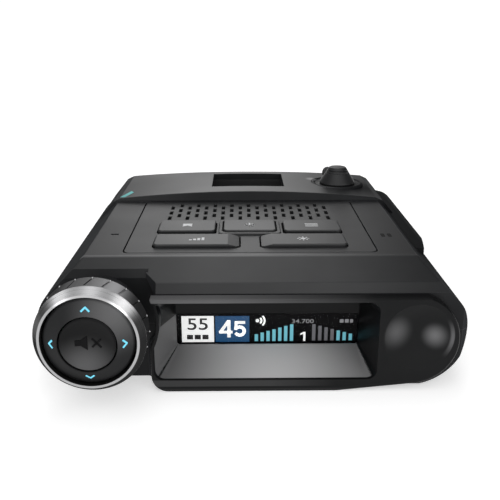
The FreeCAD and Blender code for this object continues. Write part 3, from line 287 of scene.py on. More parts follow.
def turned_metal(name, colour, centre, roughness, scale, strength, fans, base, metallic, lip=None):
    """Metal turned about an axis along Y: fine lines round it, with painted fans of light and painted
    highlights on edges.

    Each painted fan is an angle up from +X in degrees, a sharpness and a gain. Faces in front of lip, a
    place along Y, carry a painted highlight.
    """
    material, tree, shader = new_material(name)
    place = tree.nodes.new("ShaderNodeTexCoord")
    shift = add(tree, "ShaderNodeVectorMath", operation="SUBTRACT")
    shift.inputs[1].default_value = centre
    tree.links.new(place.outputs["Object"], shift.inputs[0])
    split = tree.nodes.new("ShaderNodeSeparateXYZ")
    tree.links.new(shift.outputs["Vector"], split.inputs["Vector"])
    flat = tree.nodes.new("ShaderNodeCombineXYZ")
    tree.links.new(split.outputs["X"], flat.inputs["X"])
    tree.links.new(split.outputs["Z"], flat.inputs["Z"])
    length = add(tree, "ShaderNodeVectorMath", operation="LENGTH")
    tree.links.new(flat.outputs["Vector"], length.inputs[0])
    outward = add(tree, "ShaderNodeVectorMath", operation="NORMALIZE")
    tree.links.new(flat.outputs["Vector"], outward.inputs[0])
    turned = tree.nodes.new("ShaderNodeCombineXYZ")
    tree.links.new(length.outputs["Value"], turned.inputs["X"])
    tree.links.new(split.outputs["Y"], turned.inputs["Z"])
    lines = noise(tree, turned.outputs["Vector"], scale * 12, 2.0, 0.6)
    soft_normal, edges = edge_mask(tree, 0.15 * MM)
    light = ranged(tree, lines, 0.86 * base, base)
    # Painted highlights: each fan lightens the colour toward one angle round the axis.
    for degrees, sharpness, gain in fans:
        turn = math.radians(degrees)
        toward = add(tree, "ShaderNodeVectorMath", operation="DOT_PRODUCT")
        tree.links.new(outward.outputs["Vector"], toward.inputs[0])
        toward.inputs[1].default_value = (math.cos(turn), 0.0, math.sin(turn))
        ahead = add(tree, "ShaderNodeMath", operation="MAXIMUM")
        tree.links.new(toward.outputs["Value"], ahead.inputs[0])
        ahead.inputs[1].default_value = 0.0
        lobe = add(tree, "ShaderNodeMath", operation="POWER")
        tree.links.new(ahead.outputs[0], lobe.inputs[0])
        lobe.inputs[1].default_value = sharpness
        both = add(tree, "ShaderNodeMath", operation="MULTIPLY_ADD")
        tree.links.new(lobe.outputs[0], both.inputs[0])
        both.inputs[1].default_value = gain
        tree.links.new(light, both.inputs[2])
        light = both.outputs[0]
    # Painted highlight on the faces in front of the lip.
    if lip is not None:
        lip_highlight = ranged(tree, split.outputs["Y"], 3.2, 0.0, lip - 0.1 * MM, lip + 0.1 * MM)
        light = larger(tree, light, lip_highlight)
    tinted = add(tree, "ShaderNodeVectorMath", operation="SCALE")
    tinted.inputs[0].default_value = colour
    tree.links.new(light, tinted.inputs["Scale"])
    # Painted highlight along sharp edges.
    bright = tuple(min(1.0, channel * 2.2) for channel in colour)
    tree.links.new(blended(tree, edges, tinted.outputs["Vector"], bright), shader.inputs["Base Color"])
    tree.links.new(ranged(tree, lines, roughness * 0.8, roughness * 1.25), shader.inputs["Roughness"])
    tree.links.new(bump(tree, lines, strength, 0.01 * MM, soft_normal), shader.inputs["Normal"])
    shader.inputs["Metallic"].default_value = metallic
    if lip is None:
        shader.inputs["Specular IOR Level"].default_value = 0.3
        matte_where(tree, shader, sideways(tree))
    else:
        matte_where(tree, shader, ranged(tree, facing(tree).outputs["Z"], 1.0, 0.0, 0.0, 0.3))
    return material


def cast_metal(name, colour, roughness):
    """Plain metal with a fine grain and slight clouds."""
    grain_size = 0.5 * MM
    material, tree, shader = new_material(name)
    where = place_in(tree)
    speckle = noise(tree, where, 1 / grain_size, 3.0, 0.6)
    clouds = noise(tree, where, 120.0, 3.0)
    dark = tuple(channel * 0.75 for channel in colour)
    toned = blended(tree, ranged(tree, clouds, 0.0, 1.0), dark, colour)
    tree.links.new(toned, shader.inputs["Base Color"])
    tree.links.new(ranged(tree, clouds, roughness * 0.8, roughness * 1.2), shader.inputs["Roughness"])
    tree.links.new(bump(tree, speckle, 0.2, 0.02 * MM), shader.inputs["Normal"])
    shader.inputs["Metallic"].default_value = 1.0
    return material


def lit(name, colour, glow, deep=0.75, roughness=0.4):
    """A light guide or a lit patch of the screen: a little brighter and darker from place to place."""
    material, tree, shader = new_material(name)
    fine = noise(tree, place_in(tree), 5000.0, 1.0)
    dim = tuple(channel * deep for channel in colour)
    tint = blended(tree, ranged(tree, fine, 0.0, 1.0), dim, colour)
    tree.links.new(tint, shader.inputs["Base Color"])
    tree.links.new(tint, shader.inputs["Emission Color"])
    shader.inputs["Emission Strength"].default_value = glow
    shader.inputs["Roughness"].default_value = roughness
    return material


def clear(name, tint, opacity, roughness=0.05, specular=0.5):
    """A thin clear cover: mostly see-through, with a glossy face."""
    material, tree, shader = new_material(name)
    smudge = noise(tree, place_in(tree), 220.0, 3.0)
    darker = tuple(channel * 0.8 for channel in tint)
    toned = blended(tree, ranged(tree, smudge, 0.0, 1.0), darker, tint)
    tree.links.new(toned, shader.inputs["Base Color"])
    tree.links.new(ranged(tree, smudge, roughness * 0.7, roughness * 1.5), shader.inputs["Roughness"])
    shader.inputs["Alpha"].default_value = opacity
    shader.inputs["Specular IOR Level"].default_value = specular
    return material


def board(name, colour):
    """Solder-masked board: traces, and scattered flecks of tin."""
    material, tree, shader = new_material(name)
    where = place_in(tree)
    traces = add(tree, "ShaderNodeTexBrick", offset=0.5)
    traces.inputs["Scale"].default_value = 260.0
    traces.inputs["Mortar Size"].default_value = 0.03
    traces.inputs["Color1"].default_value = (*colour, 1)
    traces.inputs["Color2"].default_value = (*(channel * 0.8 for channel in colour), 1)
    traces.inputs["Mortar"].default_value = (*(channel * 1.8 for channel in colour), 1)
    tree.links.new(where, traces.inputs["Vector"])
    flecks = noise(tree, where, 900.0, 1.0)
    tin = (0.5, 0.48, 0.42)
    flecked = blended(tree, ranged(tree, flecks, 0.0, 1.0, 0.7, 0.74), traces.outputs["Color"], tin)
    tree.links.new(flecked, shader.inputs["Base Color"])
    tree.links.new(ranged(tree, flecks, 0.3, 0.45), shader.inputs["Roughness"])
    tree.links.new(bump(tree, traces.outputs["Fac"], 0.3, 0.03 * MM), shader.inputs["Normal"])
    return material


def woven(name, colour, pitch):
    """Fine cloth: threads each way."""
    material, tree, shader = new_material(name)
    where = place_in(tree)
    across = add(tree, "ShaderNodeTexWave", bands_direction="X")
    along = add(tree, "ShaderNodeTexWave", bands_direction="Y")
    for wave in (across, along):
        wave.inputs["Scale"].default_value = 0.31 / pitch
        tree.links.new(where, wave.inputs["Vector"])
    cross = times(tree, across.outputs["Fac"], along.outputs["Fac"])
    dark = tuple(channel * 0.4 for channel in colour)
    tree.links.new(blended(tree, cross, dark, colour), shader.inputs["Base Color"])
    tree.links.new(bump(tree, cross, 0.5, 0.1 * MM), shader.inputs["Normal"])
    shader.inputs["Roughness"].default_value = 0.9
    return material


def near(tree, split, centre, reach, squash=1.0, up="Z"):
    """1 at a point of the plane of X and up, falling smoothly to 0 at reach. Squash scales it in X."""
    parts = []
    for axis, value, stretch in (("X", centre[0], 1 / squash), (up, centre[1], 1.0)):
        away = add(tree, "ShaderNodeMath", operation="MULTIPLY_ADD")
        tree.links.new(split.outputs[axis], away.inputs[0])
        away.inputs[1].default_value = stretch
        away.inputs[2].default_value = -value * stretch
        parts.append(away)
    both = tree.nodes.new("ShaderNodeCombineXYZ")
    tree.links.new(parts[0].outputs[0], both.inputs["X"])
    tree.links.new(parts[1].outputs[0], both.inputs["Z"])
    length = add(tree, "ShaderNodeVectorMath", operation="LENGTH")
    tree.links.new(both.outputs["Vector"], length.inputs[0])
    made = tree.nodes.new("ShaderNodeMapRange")
    made.interpolation_type = "SMOOTHSTEP"
    made.inputs["From Min"].default_value = 0.0
    made.inputs["From Max"].default_value = reach
    made.inputs["To Min"].default_value = 1.0
    made.inputs["To Max"].default_value = 0.0
    tree.links.new(length.outputs["Value"], made.inputs["Value"])
    return made.outputs["Result"]


def bezel_plastic_and_painted_light(name):
    """Semi-gloss near-black, with a grey shelf under the screen and painted highlights in the finger dish.

    The shelf is palest below the middle of the screen. Painted light lies on the recess's left side below
    the line of the hood's shadow, and painted highlights lie along the dish's rim and the brow over the
    screen. The chin is a little lighter too.
    """
    material = moulded(name, (0.0052, 0.0054, 0.0058), 0.3, 0.12, specular=0.13, edge_wear_and_glint=0.25)
    tree = material.node_tree
    shader = tree.nodes["Principled BSDF"]
    plain = shader.inputs["Base Color"].links[0].from_socket
    split = place_split(tree)
    normal = facing(tree)
    low_bezel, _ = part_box("front_bezel")
    inside = ranged(tree, split.outputs["Y"], 0.0, 1.0, low_bezel.y + 0.7 * MM, low_bezel.y + 0.9 * MM)
    below = ranged(tree, split.outputs["Z"], 1.0, 0.0, 8.6 * MM, 8.9 * MM)
    above = ranged(tree, split.outputs["Z"], 0.0, 1.0, 2.6 * MM, 2.9 * MM)
    upward = ranged(tree, normal.outputs["Z"], 0.0, 1.0, 0.7, 0.8)
    shelf = times(tree, inside, below, above, upward)
    # The shelf's grey is palest below the middle of the screen.
    middle = near(tree, split, (6.0 * MM, 7.0 * MM), 34.0 * MM)
    shelf_grey = blended(tree, middle, (0.13, 0.13, 0.132), (0.58, 0.58, 0.585))
    # Painted light on the recess's left wall, below the line of the hood's shadow.
    lit_left_wall = times(
        tree, inside, ranged(tree, normal.outputs["X"], 0.0, 1.0, 0.6, 0.7),
        ranged(tree, split.outputs["X"], 1.0, 0.0, -21.0 * MM, -20.8 * MM),
        ranged(tree, split.outputs["Z"], 1.0, 0.0, 18.3 * MM, 18.5 * MM))
    with_shelf = blended(tree, shelf, plain, shelf_grey)
    with_lit_wall = blended(tree, lit_left_wall, with_shelf, (0.14, 0.14, 0.142))
    dish = (DISH_MM[0] * MM, DISH_MM[1] * MM)
    behind_face = ranged(
        tree, split.outputs["Y"], 0.0, 1.0, low_bezel.y + 0.05 * MM, low_bezel.y + 0.25 * MM)
    in_dish = times(
        tree, behind_face,
        ranged(tree, near(tree, split, dish, 9.9 * MM), 0.0, 1.0, 0.0, 0.01))
    # Painted highlights: two soft reflections in the finger dish.
    left_sheen = near(tree, split, (dish[0] - 6.0 * MM, dish[1] + 0.9 * MM), 6.0 * MM, 0.9)
    right_sheen = near(tree, split, (dish[0] + 5.0 * MM, dish[1] - 0.4 * MM), 4.6 * MM, 0.95)
    with_left = blended(tree, times(tree, in_dish, left_sheen), with_lit_wall, (0.085, 0.085, 0.087))
    with_right = blended(tree, times(tree, in_dish, right_sheen), with_left, (0.13, 0.13, 0.133))
    # Painted highlight: a thin crescent along the dish's right rim.
    rim_highlight = times(
        tree, near(tree, split, (dish[0] + 9.3 * MM, dish[1] - 0.5 * MM), 6.5 * MM),
        ranged(tree, near(tree, split, dish, 19.8 * MM), 0.0, 1.0, 0.49, 0.51),
        ranged(tree, near(tree, split, dish, 19.8 * MM), 1.0, 0.0, 0.55, 0.59))
    with_rim = blended(tree, rim_highlight, with_right, (0.11, 0.11, 0.113))
    # Painted highlight along the brow over the screen, fading to the right.
    brow = times(
        tree, ranged(tree, split.outputs["Z"], 0.0, 1.0, 27.2 * MM, 27.4 * MM),
        ranged(tree, split.outputs["X"], 1.0, 0.0, -10.0 * MM, 34.0 * MM))
    with_brow = blended(tree, brow, with_rim, (0.11, 0.11, 0.112))
    chin = times(
        tree, ranged(tree, split.outputs["Y"], 1.0, 0.0, low_bezel.y + 0.3 * MM, low_bezel.y + 0.5 * MM),
        ranged(tree, split.outputs["X"], 1.0, 0.0, 5.0 * MM, 24.0 * MM),
        ranged(tree, split.outputs["Z"], 0.0, 1.0, 1.8 * MM, 2.0 * MM),
        ranged(tree, split.outputs["Z"], 1.0, 0.0, 3.8 * MM, 4.0 * MM))
    tree.links.new(blended(tree, chin, with_brow, (0.035, 0.035, 0.0355)), shader.inputs["Base Color"])
    return material


def pad_plastic_and_painted_light(name, centre):
    """Satin black, with painted light: a painted highlight at the pad's upper right and painted shade at its
    lower left, and a painted highlight below the middle of the hollow key.
    """
    material = moulded(name, (0.013, 0.0133, 0.0143), 0.36, 0.1, specular=0.12, edge_wear_and_glint=0.2)
    tree = material.node_tree
    shader = tree.nodes["Principled BSDF"]
    plain = shader.inputs["Base Color"].links[0].from_socket
    split = place_split(tree)
    x, z = centre[0], centre[2]
    # Painted shade at the pad's lower left and a painted highlight at its upper right.
    shade = near(tree, split, (x - 5.5 * MM, z - 10.0 * MM), 13.0 * MM, 1.3)
    sheen = near(tree, split, (x + 7.5 * MM, z + 9.0 * MM), 14.0 * MM, 1.0)
    pad = blended(tree, shade, blended(tree, sheen, (0.014, 0.0143, 0.015), (0.13, 0.13, 0.132)),
                  (0.004, 0.004, 0.0042))
    # Painted highlight in the lower half of the hollow key.
    glow = near(tree, split, (x - 1.0 * MM, z - 6.5 * MM), 9.5 * MM, 1.2)
    key = blended(tree, glow, (0.004, 0.004, 0.0042), (0.10, 0.10, 0.102))
    in_key = ranged(tree, near(tree, split, (x, z), 15.0 * MM), 0.0, 1.0, 0.49, 0.52)
    toned = blended(tree, in_key, pad, key)
    mixed = tree.nodes.new("ShaderNodeMix")
    mixed.data_type = "RGBA"
    mixed.inputs["Factor"].default_value = 0.9
    tree.links.new(plain, mixed.inputs[6])
    tree.links.new(toned, mixed.inputs[7])
    tree.links.new(mixed.outputs[2], shader.inputs["Base Color"])
    return material


DISH_MM = (46.4, 16.8)
low_dial, high_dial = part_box("knob_trim_ring")
KNOB_AXIS = ((low_dial.x + high_dial.x) / 2, 0.0, (low_dial.z + high_dial.z) / 2)

FINISHES = {
    "housing_plastic": housing_plastic_and_painted_light("housing_plastic"),
    "panel_plastic": moulded("panel_plastic", (0.015, 0.0155, 0.0165), 0.4, 0.3),
    "bezel_plastic": bezel_plastic_and_painted_light("bezel_plastic"),
    "key_plastic": moulded("key_plastic", (0.017, 0.0175, 0.0185), 0.36, 0.2),
    "pad_plastic": pad_plastic_and_painted_light("pad_plastic", KNOB_AXIS),
    "arrow_light": lit("arrow_light", (0.13, 0.52, 0.68), 0.7),
    # The fans on the sleeve and trim ring, and the trim's lip, are painted highlights.
    "sleeve_metal": turned_metal(
        "sleeve_metal", (0.04, 0.04, 0.041), KNOB_AXIS, 0.36, 700.0, 0.2,
        ((62, 40, 9.0), (88, 6, 2.0)), 0.8, 0.2),
    "trim_metal": turned_metal(
        "trim_metal", (0.2, 0.2, 0.203), KNOB_AXIS, 0.3, 900.0, 0.3,
        ((119, 60, 4.6), (47, 50, 8.0), (86, 4, 2.4)), 0.14, 0.55, lip=low_dial.y + 0.03 * MM),
    "stud_metal": cast_metal("stud_metal", (0.55, 0.55, 0.56), 0.2),
    "camera_plastic": moulded("camera_plastic", (0.012, 0.0123, 0.0132), 0.36, 0.2, specular=0.36),
    "barrel_plastic": moulded("barrel_plastic", (0.018, 0.018, 0.019), 0.45, 0.4),
    "lens_glass": clear("lens_glass", (0.02, 0.03, 0.07), 0.85, 0.03, 0.9),
    "window_glass": clear("window_glass", (0.004, 0.004, 0.005), 0.03, 0.06, 0.2),
    "screen_black": moulded("screen_black", (0.0015, 0.0015, 0.002), 0.3, 0.02, specular=0.08, edge_wear_and_glint=0.0),
    "laser_red": clear("laser_red", (0.10, 0.004, 0.006), 0.9, 0.06, 0.6),
    "laser_lens": clear("laser_lens", (0.5, 0.08, 0.08), 0.6, 0.05),
    "circuit_green": board("circuit_green", (0.012, 0.09, 0.035)),
    "can_metal": cast_metal("can_metal", (0.62, 0.61, 0.58), 0.32),
    "horn_metal": cast_metal("horn_metal", (0.58, 0.58, 0.6), 0.45),
    "screw_steel": cast_metal("screw_steel", (0.16, 0.16, 0.17), 0.35),
    "contact_gold": cast_metal("contact_gold", (0.83, 0.60, 0.22), 0.22),
    "magnet_metal": cast_metal("magnet_metal", (0.66, 0.65, 0.62), 0.2),
    "rubber_grey": moulded("rubber_grey", (0.09, 0.09, 0.095), 0.7, 0.4, edge_wear_and_glint=0.0),
    "inner_plastic": moulded("inner_plastic", (0.014, 0.014, 0.015), 0.5, 0.3),
    "dock_plastic": moulded("dock_plastic", (0.006, 0.006, 0.0065), 0.55, 0.3, edge_wear_and_glint=0.1),
    "cone_paper": woven("cone_paper", (0.03, 0.03, 0.03), 0.0006),
    "mesh_cloth": woven("mesh_cloth", (0.008, 0.008, 0.008), 0.0004),
    "cell_sleeve": moulded("cell_sleeve", (0.02, 0.05, 0.2), 0.3, 0.1),
    "cable_film": moulded("cable_film", (0.5, 0.2, 0.03), 0.35, 0.1),
    "card_plastic": moulded("card_plastic", (0.008, 0.008, 0.009), 0.4, 0.2),
}


def finish_nodes():
    for part in frame["record"]["subparts"]:
        mesh = NODES[part["node"]].data
        mesh.materials.clear()
        mesh.materials.append(FINISHES[part["material_slot"]])


# ---- added pieces ----

def piece(name, mesh, body, material):
    made = bpy.data.objects.new(name, mesh)
    bpy.context.scene.collection.objects.link(made)
    mesh.materials.clear()
    mesh.materials.append(material)
    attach(made, body)
    return made


def slab_mesh(name, outlines, thick, to_frame):
    """Flat outlines, in millimetres, given a thickness and carried into the frame by a matrix."""
    bm = bmesh.new()
    for outline in outlines:
        face = bm.faces.new([bm.verts.new((u * MM, v * MM, 0)) for u, v in outline])
        out = bmesh.ops.extrude_face_region(bm, geom=[face])
        moved = [item for item in out["geom"] if isinstance(item, bmesh.types.BMVert)]
        bmesh.ops.translate(bm, verts=moved, vec=(0, 0, thick * MM))
    bmesh.ops.recalc_face_normals(bm, faces=bm.faces[:])
    bm.transform(to_frame)
    mesh = bpy.data.meshes.new(name)
    bm.to_mesh(mesh)
    bm.free()
    return mesh


def bar(left, low, right, high, corner=0.0, steps=3):
    """A rectangle with round corners."""
    if not corner:
        return [(left, low), (right, low), (right, high), (left, high)]
    points = []
    centres = ((right - corner, low + corner, -90), (right - corner, high - corner, 0),
               (left + corner, high - corner, 90), (left + corner, low + corner, 180))
    for x, y, start in centres:
        for step in range(steps + 1):
            turn = math.radians(start + 90 * step / steps)
            points.append((x + corner * math.cos(turn), y + corner * math.sin(turn)))
    return points


def disc(x, y, radius, steps=24):
    turns = [2 * math.pi * k / steps for k in range(steps)]
    return [(x + radius * math.cos(turn), y + radius * math.sin(turn)) for turn in turns]


def stroke(points, width):
    """One quadrilateral for each run of a line, with a little overlap at its joints."""
    runs = []
    for (x0, y0), (x1, y1) in zip(points, points[1:]):
        along = Vector((x1 - x0, y1 - y0)).normalized()
        side = Vector((-along.y, along.x)) * width / 2
        start = Vector((x0, y0)) - along * width * 0.3
        end = Vector((x1, y1)) + along * width * 0.3
        runs.append([tuple(start - side), tuple(end - side), tuple(end + side), tuple(start + side)])
    return runs


def arc_line(x, y, radius, start, end, steps=12):
    turns = [math.radians(start + (end - start) * k / steps) for k in range(steps + 1)]
    return [(x + radius * math.cos(turn), y + radius * math.sin(turn)) for turn in turns]


def number_mesh(name, text, centre, height, width, to_frame, thick, bold):
    """A number, made from the built-in font, of a given height and width in millimetres."""
    curve = bpy.data.curves.new(name, "FONT")
    curve.body = text
    curve.size = 1.0
    curve.offset = bold
    curve.extrude = 0.5
    holder = bpy.data.objects.new(name + "_text", curve)
    bpy.context.scene.collection.objects.link(holder)
    bpy.context.view_layer.update()
    solid = holder.evaluated_get(bpy.context.evaluated_depsgraph_get())
    mesh = bpy.data.meshes.new_from_object(solid)
    bpy.data.objects.remove(holder)
    bpy.data.curves.remove(curve)
    xs = [vertex.co.x for vertex in mesh.vertices]
    ys = [vertex.co.y for vertex in mesh.vertices]
    zs = [vertex.co.z for vertex in mesh.vertices]
    fit = Matrix.Diagonal((
        width * MM / (max(xs) - min(xs)),
        height * MM / (max(ys) - min(ys)),
        thick * MM / (max(zs) - min(zs)),
        1))
    middle = Matrix.Translation((-(max(xs) + min(xs)) / 2, -(max(ys) + min(ys)) / 2, -min(zs)))
    mesh.transform(to_frame @ Matrix.Translation((centre[0] * MM, centre[1] * MM, 0)) @ fit @ middle)
    mesh.name = name
    return mesh


# ---- display ----

_, panel_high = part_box("display_panel")
UPRIGHT = Matrix.Rotation(math.radians(90), 4, "X")
SCREEN_THICK_MM = 3.0
HOLLOW_DEPTH_MM = 1.35
HOLLOW_R_MM = 18.5
LAYER_THICK_MM = 0.03
PRINT_THICK_MM = 0.02
PROUD_MM = 0.005
TOP_PLATE_MM = 35.6


def screen_layer(gap_mm):
    """Flat shapes drawn in X and Z, set in front of the screen's face, behind the window."""
    return Matrix.Translation((0, panel_high.y - (SCREEN_THICK_MM + gap_mm) * MM, -0.45 * MM)) @ UPRIGHT


def make_display():
    base = screen_layer(0.04)
    top = screen_layer(0.1)
    white = lit("screen_white", (0.86, 0.87, 0.86), 0.5, 0.96)
    blue = lit("screen_blue", (0.001, 0.042, 0.118), 0.7, 0.9)
    cyan = lit("screen_cyan", (0.12, 0.39, 0.47), 0.62, 0.85)
    grey = lit("screen_grey", (0.10, 0.10, 0.11), 0.5, 0.9)
    dim = lit("screen_dim", (0.19, 0.19, 0.2), 0.55, 0.9)
    ink = moulded("screen_ink", (0.01, 0.01, 0.011), 0.3, 0.02, edge_wear_and_glint=0.0)

    def show(name, outlines, layer, material):
        mesh = slab_mesh(name, outlines, LAYER_THICK_MM, layer)
        piece(name, mesh, "housing", material)

    def numeral(name, text, centre, height, width, material, bold):
        mesh = number_mesh(name, text, centre, height, width, top, LAYER_THICK_MM, bold)
        piece(name, mesh, "housing", material)

    show("limit_box", [bar(-20.5, 9.2, -10.95, 17.65)], base, white)
    show("speed_box", [bar(-10.5, 9.2, -0.45, 17.6)], base, blue)
    numeral("limit_number", "55", (-15.75, 15.05), 3.75, 6.0, ink, 0.008)
    four = stroke([(-6.5, 16.0), (-6.5, 11.0)], 1.0) + stroke([(-9.15, 12.45), (-5.7, 12.45)], 0.9)
    four += stroke([(-9.0, 12.5), (-6.7, 15.9)], 0.95)
    five = stroke([(-4.5, 15.55), (-1.95, 15.55)], 0.9) + stroke([(-4.3, 15.5), (-4.5, 13.4)], 0.9)
    five += stroke(arc_line(-3.3, 12.75, 1.35, 140, -145), 0.95)
    show("speed_number", four + five, top, white)
    limit_blocks = [
        bar(left, 10.1, right, 11.6) for left, right in ((-19.0, -17.2), (-16.7, -14.9), (-14.4, -12.6))]
    show("limit_unit", limit_blocks, top, ink)
    # a signal mark, frequency digits and dim marks along the top
    waves = [run for reach in (1.15, 2.1) for run in stroke(arc_line(2.0, 16.1, reach, -42, 42, 6), 0.5)]
    show("signal_mark", [disc(1.95, 16.1, 0.55)] + waves, top, white)
    numeral("frequency_number", "34.700", (15.4, 15.85), 1.3, 6.5, dim, 0.006)
    frequency_blocks = [
        bar(left, 15.3, right, 16.4, 0.2) for left, right in ((26.4, 27.5), (27.9, 29.0), (29.4, 30.3))]
    show("frequency_unit", frequency_blocks, top, dim)
    rising = []
    for step in range(7):
        left = 1.15 + 1.75 * step
        rising.append(bar(left, 9.4, left + 1.0, 11.65 + 0.53 * step))
    show("front_bars", rising, base, cyan)
    flag = [(14.75, 11.35), (15.7, 11.75), (15.7, 12.35), (14.75, 11.8)]
    show("alert_number", [bar(15.65, 9.4, 16.3, 12.35), flag], top, white)
    falling = [
        bar(18.25 + 1.83 * step, 9.5, 19.25 + 1.83 * step, 14.8 - 0.52 * step) for step in range(7)]
    show("rear_bars_off", falling[:4], base, grey)
    show("rear_bars_on", falling[4:], base, cyan)


# ---- marks on the keys and the knob ----

def key_layer(node):
    """Flat shapes drawn about the key's middle, just proud of its top face."""
    low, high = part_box(node)
    return Matrix.Translation(((low.x + high.x) / 2, (low.y + high.y) / 2, high.z + PROUD_MM * MM))


def make_key_marks():
    print_white = moulded("print_white", (0.72, 0.73, 0.74), 0.5, 0.1, edge_wear_and_glint=0.0)
    bookmark = [[(-1.5, -1.6), (0, -0.5), (1.5, -1.6), (1.5, 1.6), (-1.5, 1.6)]]
    switch = stroke(arc_line(0, -0.2, 1.4, 130, 410), 0.6) + stroke([(0, 0.1), (0, 1.8)], 0.6)
    lines = [bar(-2.1, y - 0.32, 2.1, y + 0.32, 0.15) for y in (-1.3, 0.0, 1.3)]
    steps = [
        bar(-2.4 + 1.25 * step, -1.3, -1.5 + 1.25 * step, -0.5 + 0.62 * step, 0.1) for step in range(4)]
    rays = [(math.cos(math.pi * k / 4), math.sin(math.pi * k / 4)) for k in range(8)]
    sun = [disc(0, 0, 0.8)]
    for x, y in rays:
        sun += stroke([(1.25 * x, 1.25 * y), (1.75 * x, 1.75 * y)], 0.42)
    marks = (("mark", bookmark), ("power", switch), ("function", lines), ("sensitivity", steps),
             ("brightness", sun))
    for body, outlines in marks:
        node = body + "_key"
        mesh = slab_mesh(node + "_sign", outlines, PRINT_THICK_MM, key_layer(node))
        piece(node + "_sign", mesh, body, print_white)


def make_accent():
    """A plain teal strip near the deck's left front corner, on the deck's gentle fall to the left."""
    fall = Matrix.Rotation(math.radians(-5.14), 4, "Y")
    on_deck = Matrix.Translation((-46.62 * MM, 0, 36.89 * MM)) @ fall
    strip = [(-1.2, 26.6), (0.8, 26.3), (3.3, 32.4), (2.0, 35.0)]
    teal = moulded("accent_teal", (0.10, 0.56, 0.55), 0.4, 0.1, edge_wear_and_glint=0.0)
    mesh = slab_mesh("deck_accent", [strip], LAYER_THICK_MM, on_deck)
    piece("deck_accent", mesh, "housing", teal)


def make_microphone_hole_shade():
    """Painted shade: dark slots on the top plate over the two microphone holes at the right, standing in for
    the shade inside them.
    """
    top = Matrix.Translation((0, 0, (TOP_PLATE_MM + PROUD_MM) * MM))
    slots = [bar(x - 0.6, -19.2, x + 0.6, -15.8, 0.4) for x in (41.8, 43.9)]
    mesh = slab_mesh("microphone_hole_shade", slots, PRINT_THICK_MM, top)
    piece("microphone_hole_shade", mesh, "housing", FINISHES["mesh_cloth"])


def make_mute_sign():
    """A crossed-out speaker, printed in the hollow of the centre key."""
    low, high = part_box("mute_key")
    ink = moulded("print_dark", (0.0035, 0.0035, 0.004), 0.6, 0.1, edge_wear_and_glint=0.0, specular=0.1)
    centre = Vector(((low.x + high.x) / 2, low.y + HOLLOW_DEPTH_MM * MM, (low.z + high.z) / 2))
    outlines = [
        bar(-3.4, -0.8, -2.0, 0.8, 0.1),
        [(-2.05, -0.75), (-0.2, -2.0), (-0.2, 2.0), (-2.05, 0.75)],
    ] + stroke([(1.1, -1.1), (3.3, 1.1)], 0.5) + stroke([(1.1, 1.1), (3.3, -1.1)], 0.5)
    mesh = slab_mesh("mute_sign", outlines, 0.1, Matrix.Translation(centre) @ UPRIGHT)
    for vertex in mesh.vertices:
        away = vertex.co - centre
        vertex.co.y -= (away.x ** 2 + away.z ** 2) / (2 * HOLLOW_R_MM * MM)
    piece("mute_sign", mesh, "mute", ink)


# ---- studio ----

FRONT_SKY = (1.3, 1.3, 1.3)
BACKDROP = (1.05, 1.05, 1.05)


def make_floor():
    mesh = bpy.data.meshes.new("floor")
    size = 4.0
    corners = [(-size, -size, 0), (size, -size, 0), (size, size, 0), (-size, size, 0)]
    mesh.from_pydata(corners, [], [(0, 1, 2, 3)])
    floor = bpy.data.objects.new("floor", mesh)
    floor.location.z = cad_low.z - 0.02 * MM
    bpy.context.scene.collection.objects.link(floor)
    material, tree, shader = new_material("floor_white")
    grain = noise(tree, place_in(tree), 30.0, 3.0)
    mottled = blended(tree, ranged(tree, grain, 0.0, 1.0), (0.88, 0.88, 0.88), (0.9, 0.9, 0.9))
    tree.links.new(mottled, shader.inputs["Base Color"])
    shader.inputs["Roughness"].default_value = 0.9
    shader.inputs["Specular IOR Level"].default_value = 0.0
    shader.inputs["Emission Color"].default_value = (1.0, 1.0, 1.0, 1.0)
    shader.inputs["Emission Strength"].default_value = 0.5
    mesh.materials.append(material)


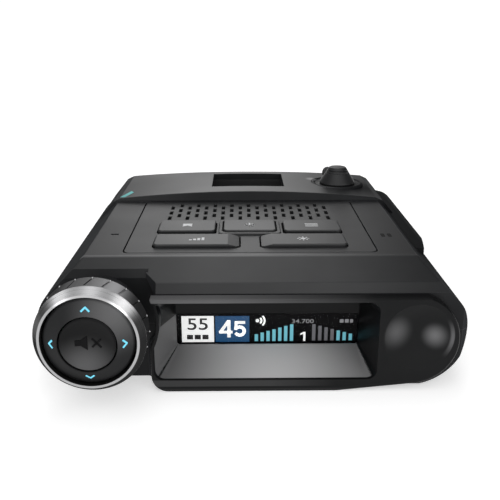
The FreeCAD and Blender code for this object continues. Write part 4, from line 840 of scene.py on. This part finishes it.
def make_world():
    """White at the far horizon. Higher up, a soft light above the middle that fades to both sides.

    The camera itself sees plain white, so the backdrop stays clean from every side.
    """
    world = bpy.data.worlds.new("studio")
    world.use_nodes = True
    tree = world.node_tree
    back = tree.nodes["Background"]
    toward = tree.nodes.new("ShaderNodeTexCoord")
    split = tree.nodes.new("ShaderNodeSeparateXYZ")
    tree.links.new(toward.outputs["Generated"], split.inputs["Vector"])
    across = ranged(tree, split.outputs["X"], 0.0, 1.0, -1.0, 1.0)
    ramp = tree.nodes.new("ShaderNodeValToRGB")
    ramp.color_ramp.interpolation = "EASE"
    stops = ((0.0, 0.25), (0.36, 0.3), (0.47, 1.35), (0.52, 1.3), (0.6, 0.16), (1.0, 0.1))
    for spot, value in stops[1:-1]:
        ramp.color_ramp.elements.new(spot).color = (value, value, value, 1.0)
    for index, value in ((0, stops[0][1]), (len(stops) - 1, stops[-1][1])):
        ramp.color_ramp.elements[index].color = (value, value, value, 1.0)
    tree.links.new(across, ramp.inputs["Fac"])
    front = ranged(tree, split.outputs["Y"], 1.0, 0.0, -0.6, -0.15)
    front_light = blended(tree, front, ramp.outputs["Color"], FRONT_SKY)
    sideways_x = add(tree, "ShaderNodeMath", operation="ABSOLUTE")
    tree.links.new(split.outputs["X"], sideways_x.inputs[0])
    horizon = times(
        tree, ranged(tree, split.outputs["Z"], 1.0, 0.0, 0.03, 0.12),
        ranged(tree, sideways_x.outputs[0], 1.0, 0.0, 0.36, 0.5),
        ranged(tree, split.outputs["Y"], 0.0, 1.0, 0.0, 0.2))
    studio = blended(tree, horizon, front_light, BACKDROP)
    seen = tree.nodes.new("ShaderNodeLightPath")
    backdrop = blended(tree, seen.outputs["Is Camera Ray"], studio, BACKDROP)
    tree.links.new(backdrop, back.inputs["Color"])
    back.inputs["Strength"].default_value = 1.0
    bpy.context.scene.world = world


def area_light(name, place, target, width, height, power):
    data = bpy.data.lights.new(name, "AREA")
    data.shape = "RECTANGLE"
    data.size = width
    data.size_y = height
    data.energy = power
    lamp = bpy.data.objects.new(name, data)
    lamp.location = place
    lamp.rotation_mode = "QUATERNION"
    lamp.rotation_quaternion = (Vector(target) - Vector(place)).to_track_quat("-Z", "Y")
    bpy.context.scene.collection.objects.link(lamp)


def make_lights():
    middle = (cad_low + cad_high) / 2
    area_light("top_softbox", (-0.05, 0.10, 0.75), middle, 0.6, 0.5, 0.6)


def make_camera():
    """The photo's viewpoint: in front, just left of the middle, looking down by about 19 degrees."""
    data = bpy.data.cameras.new("camera")
    data.sensor_width = 36.0
    data.lens = 50.4
    data.clip_start = 0.005
    data.clip_end = 20.0
    camera = bpy.data.objects.new("camera", data)
    camera.location = (-0.0028, -0.227, 0.1021)
    pitch = math.radians(18.778)
    turn = math.radians(0.775)
    level = math.cos(pitch)
    ahead = Vector((math.sin(turn) * level, math.cos(turn) * level, -math.sin(pitch)))
    camera.rotation_mode = "QUATERNION"
    camera.rotation_quaternion = ahead.to_track_quat("-Z", "Y")
    bpy.context.scene.collection.objects.link(camera)
    bpy.context.scene.camera = camera


bpy.context.scene.view_settings.view_transform = "Standard"
make_camera()
finish_nodes()
make_display()
make_key_marks()
make_accent()
make_microphone_hole_shade()
make_mute_sign()
make_floor()
make_world()
make_lights()
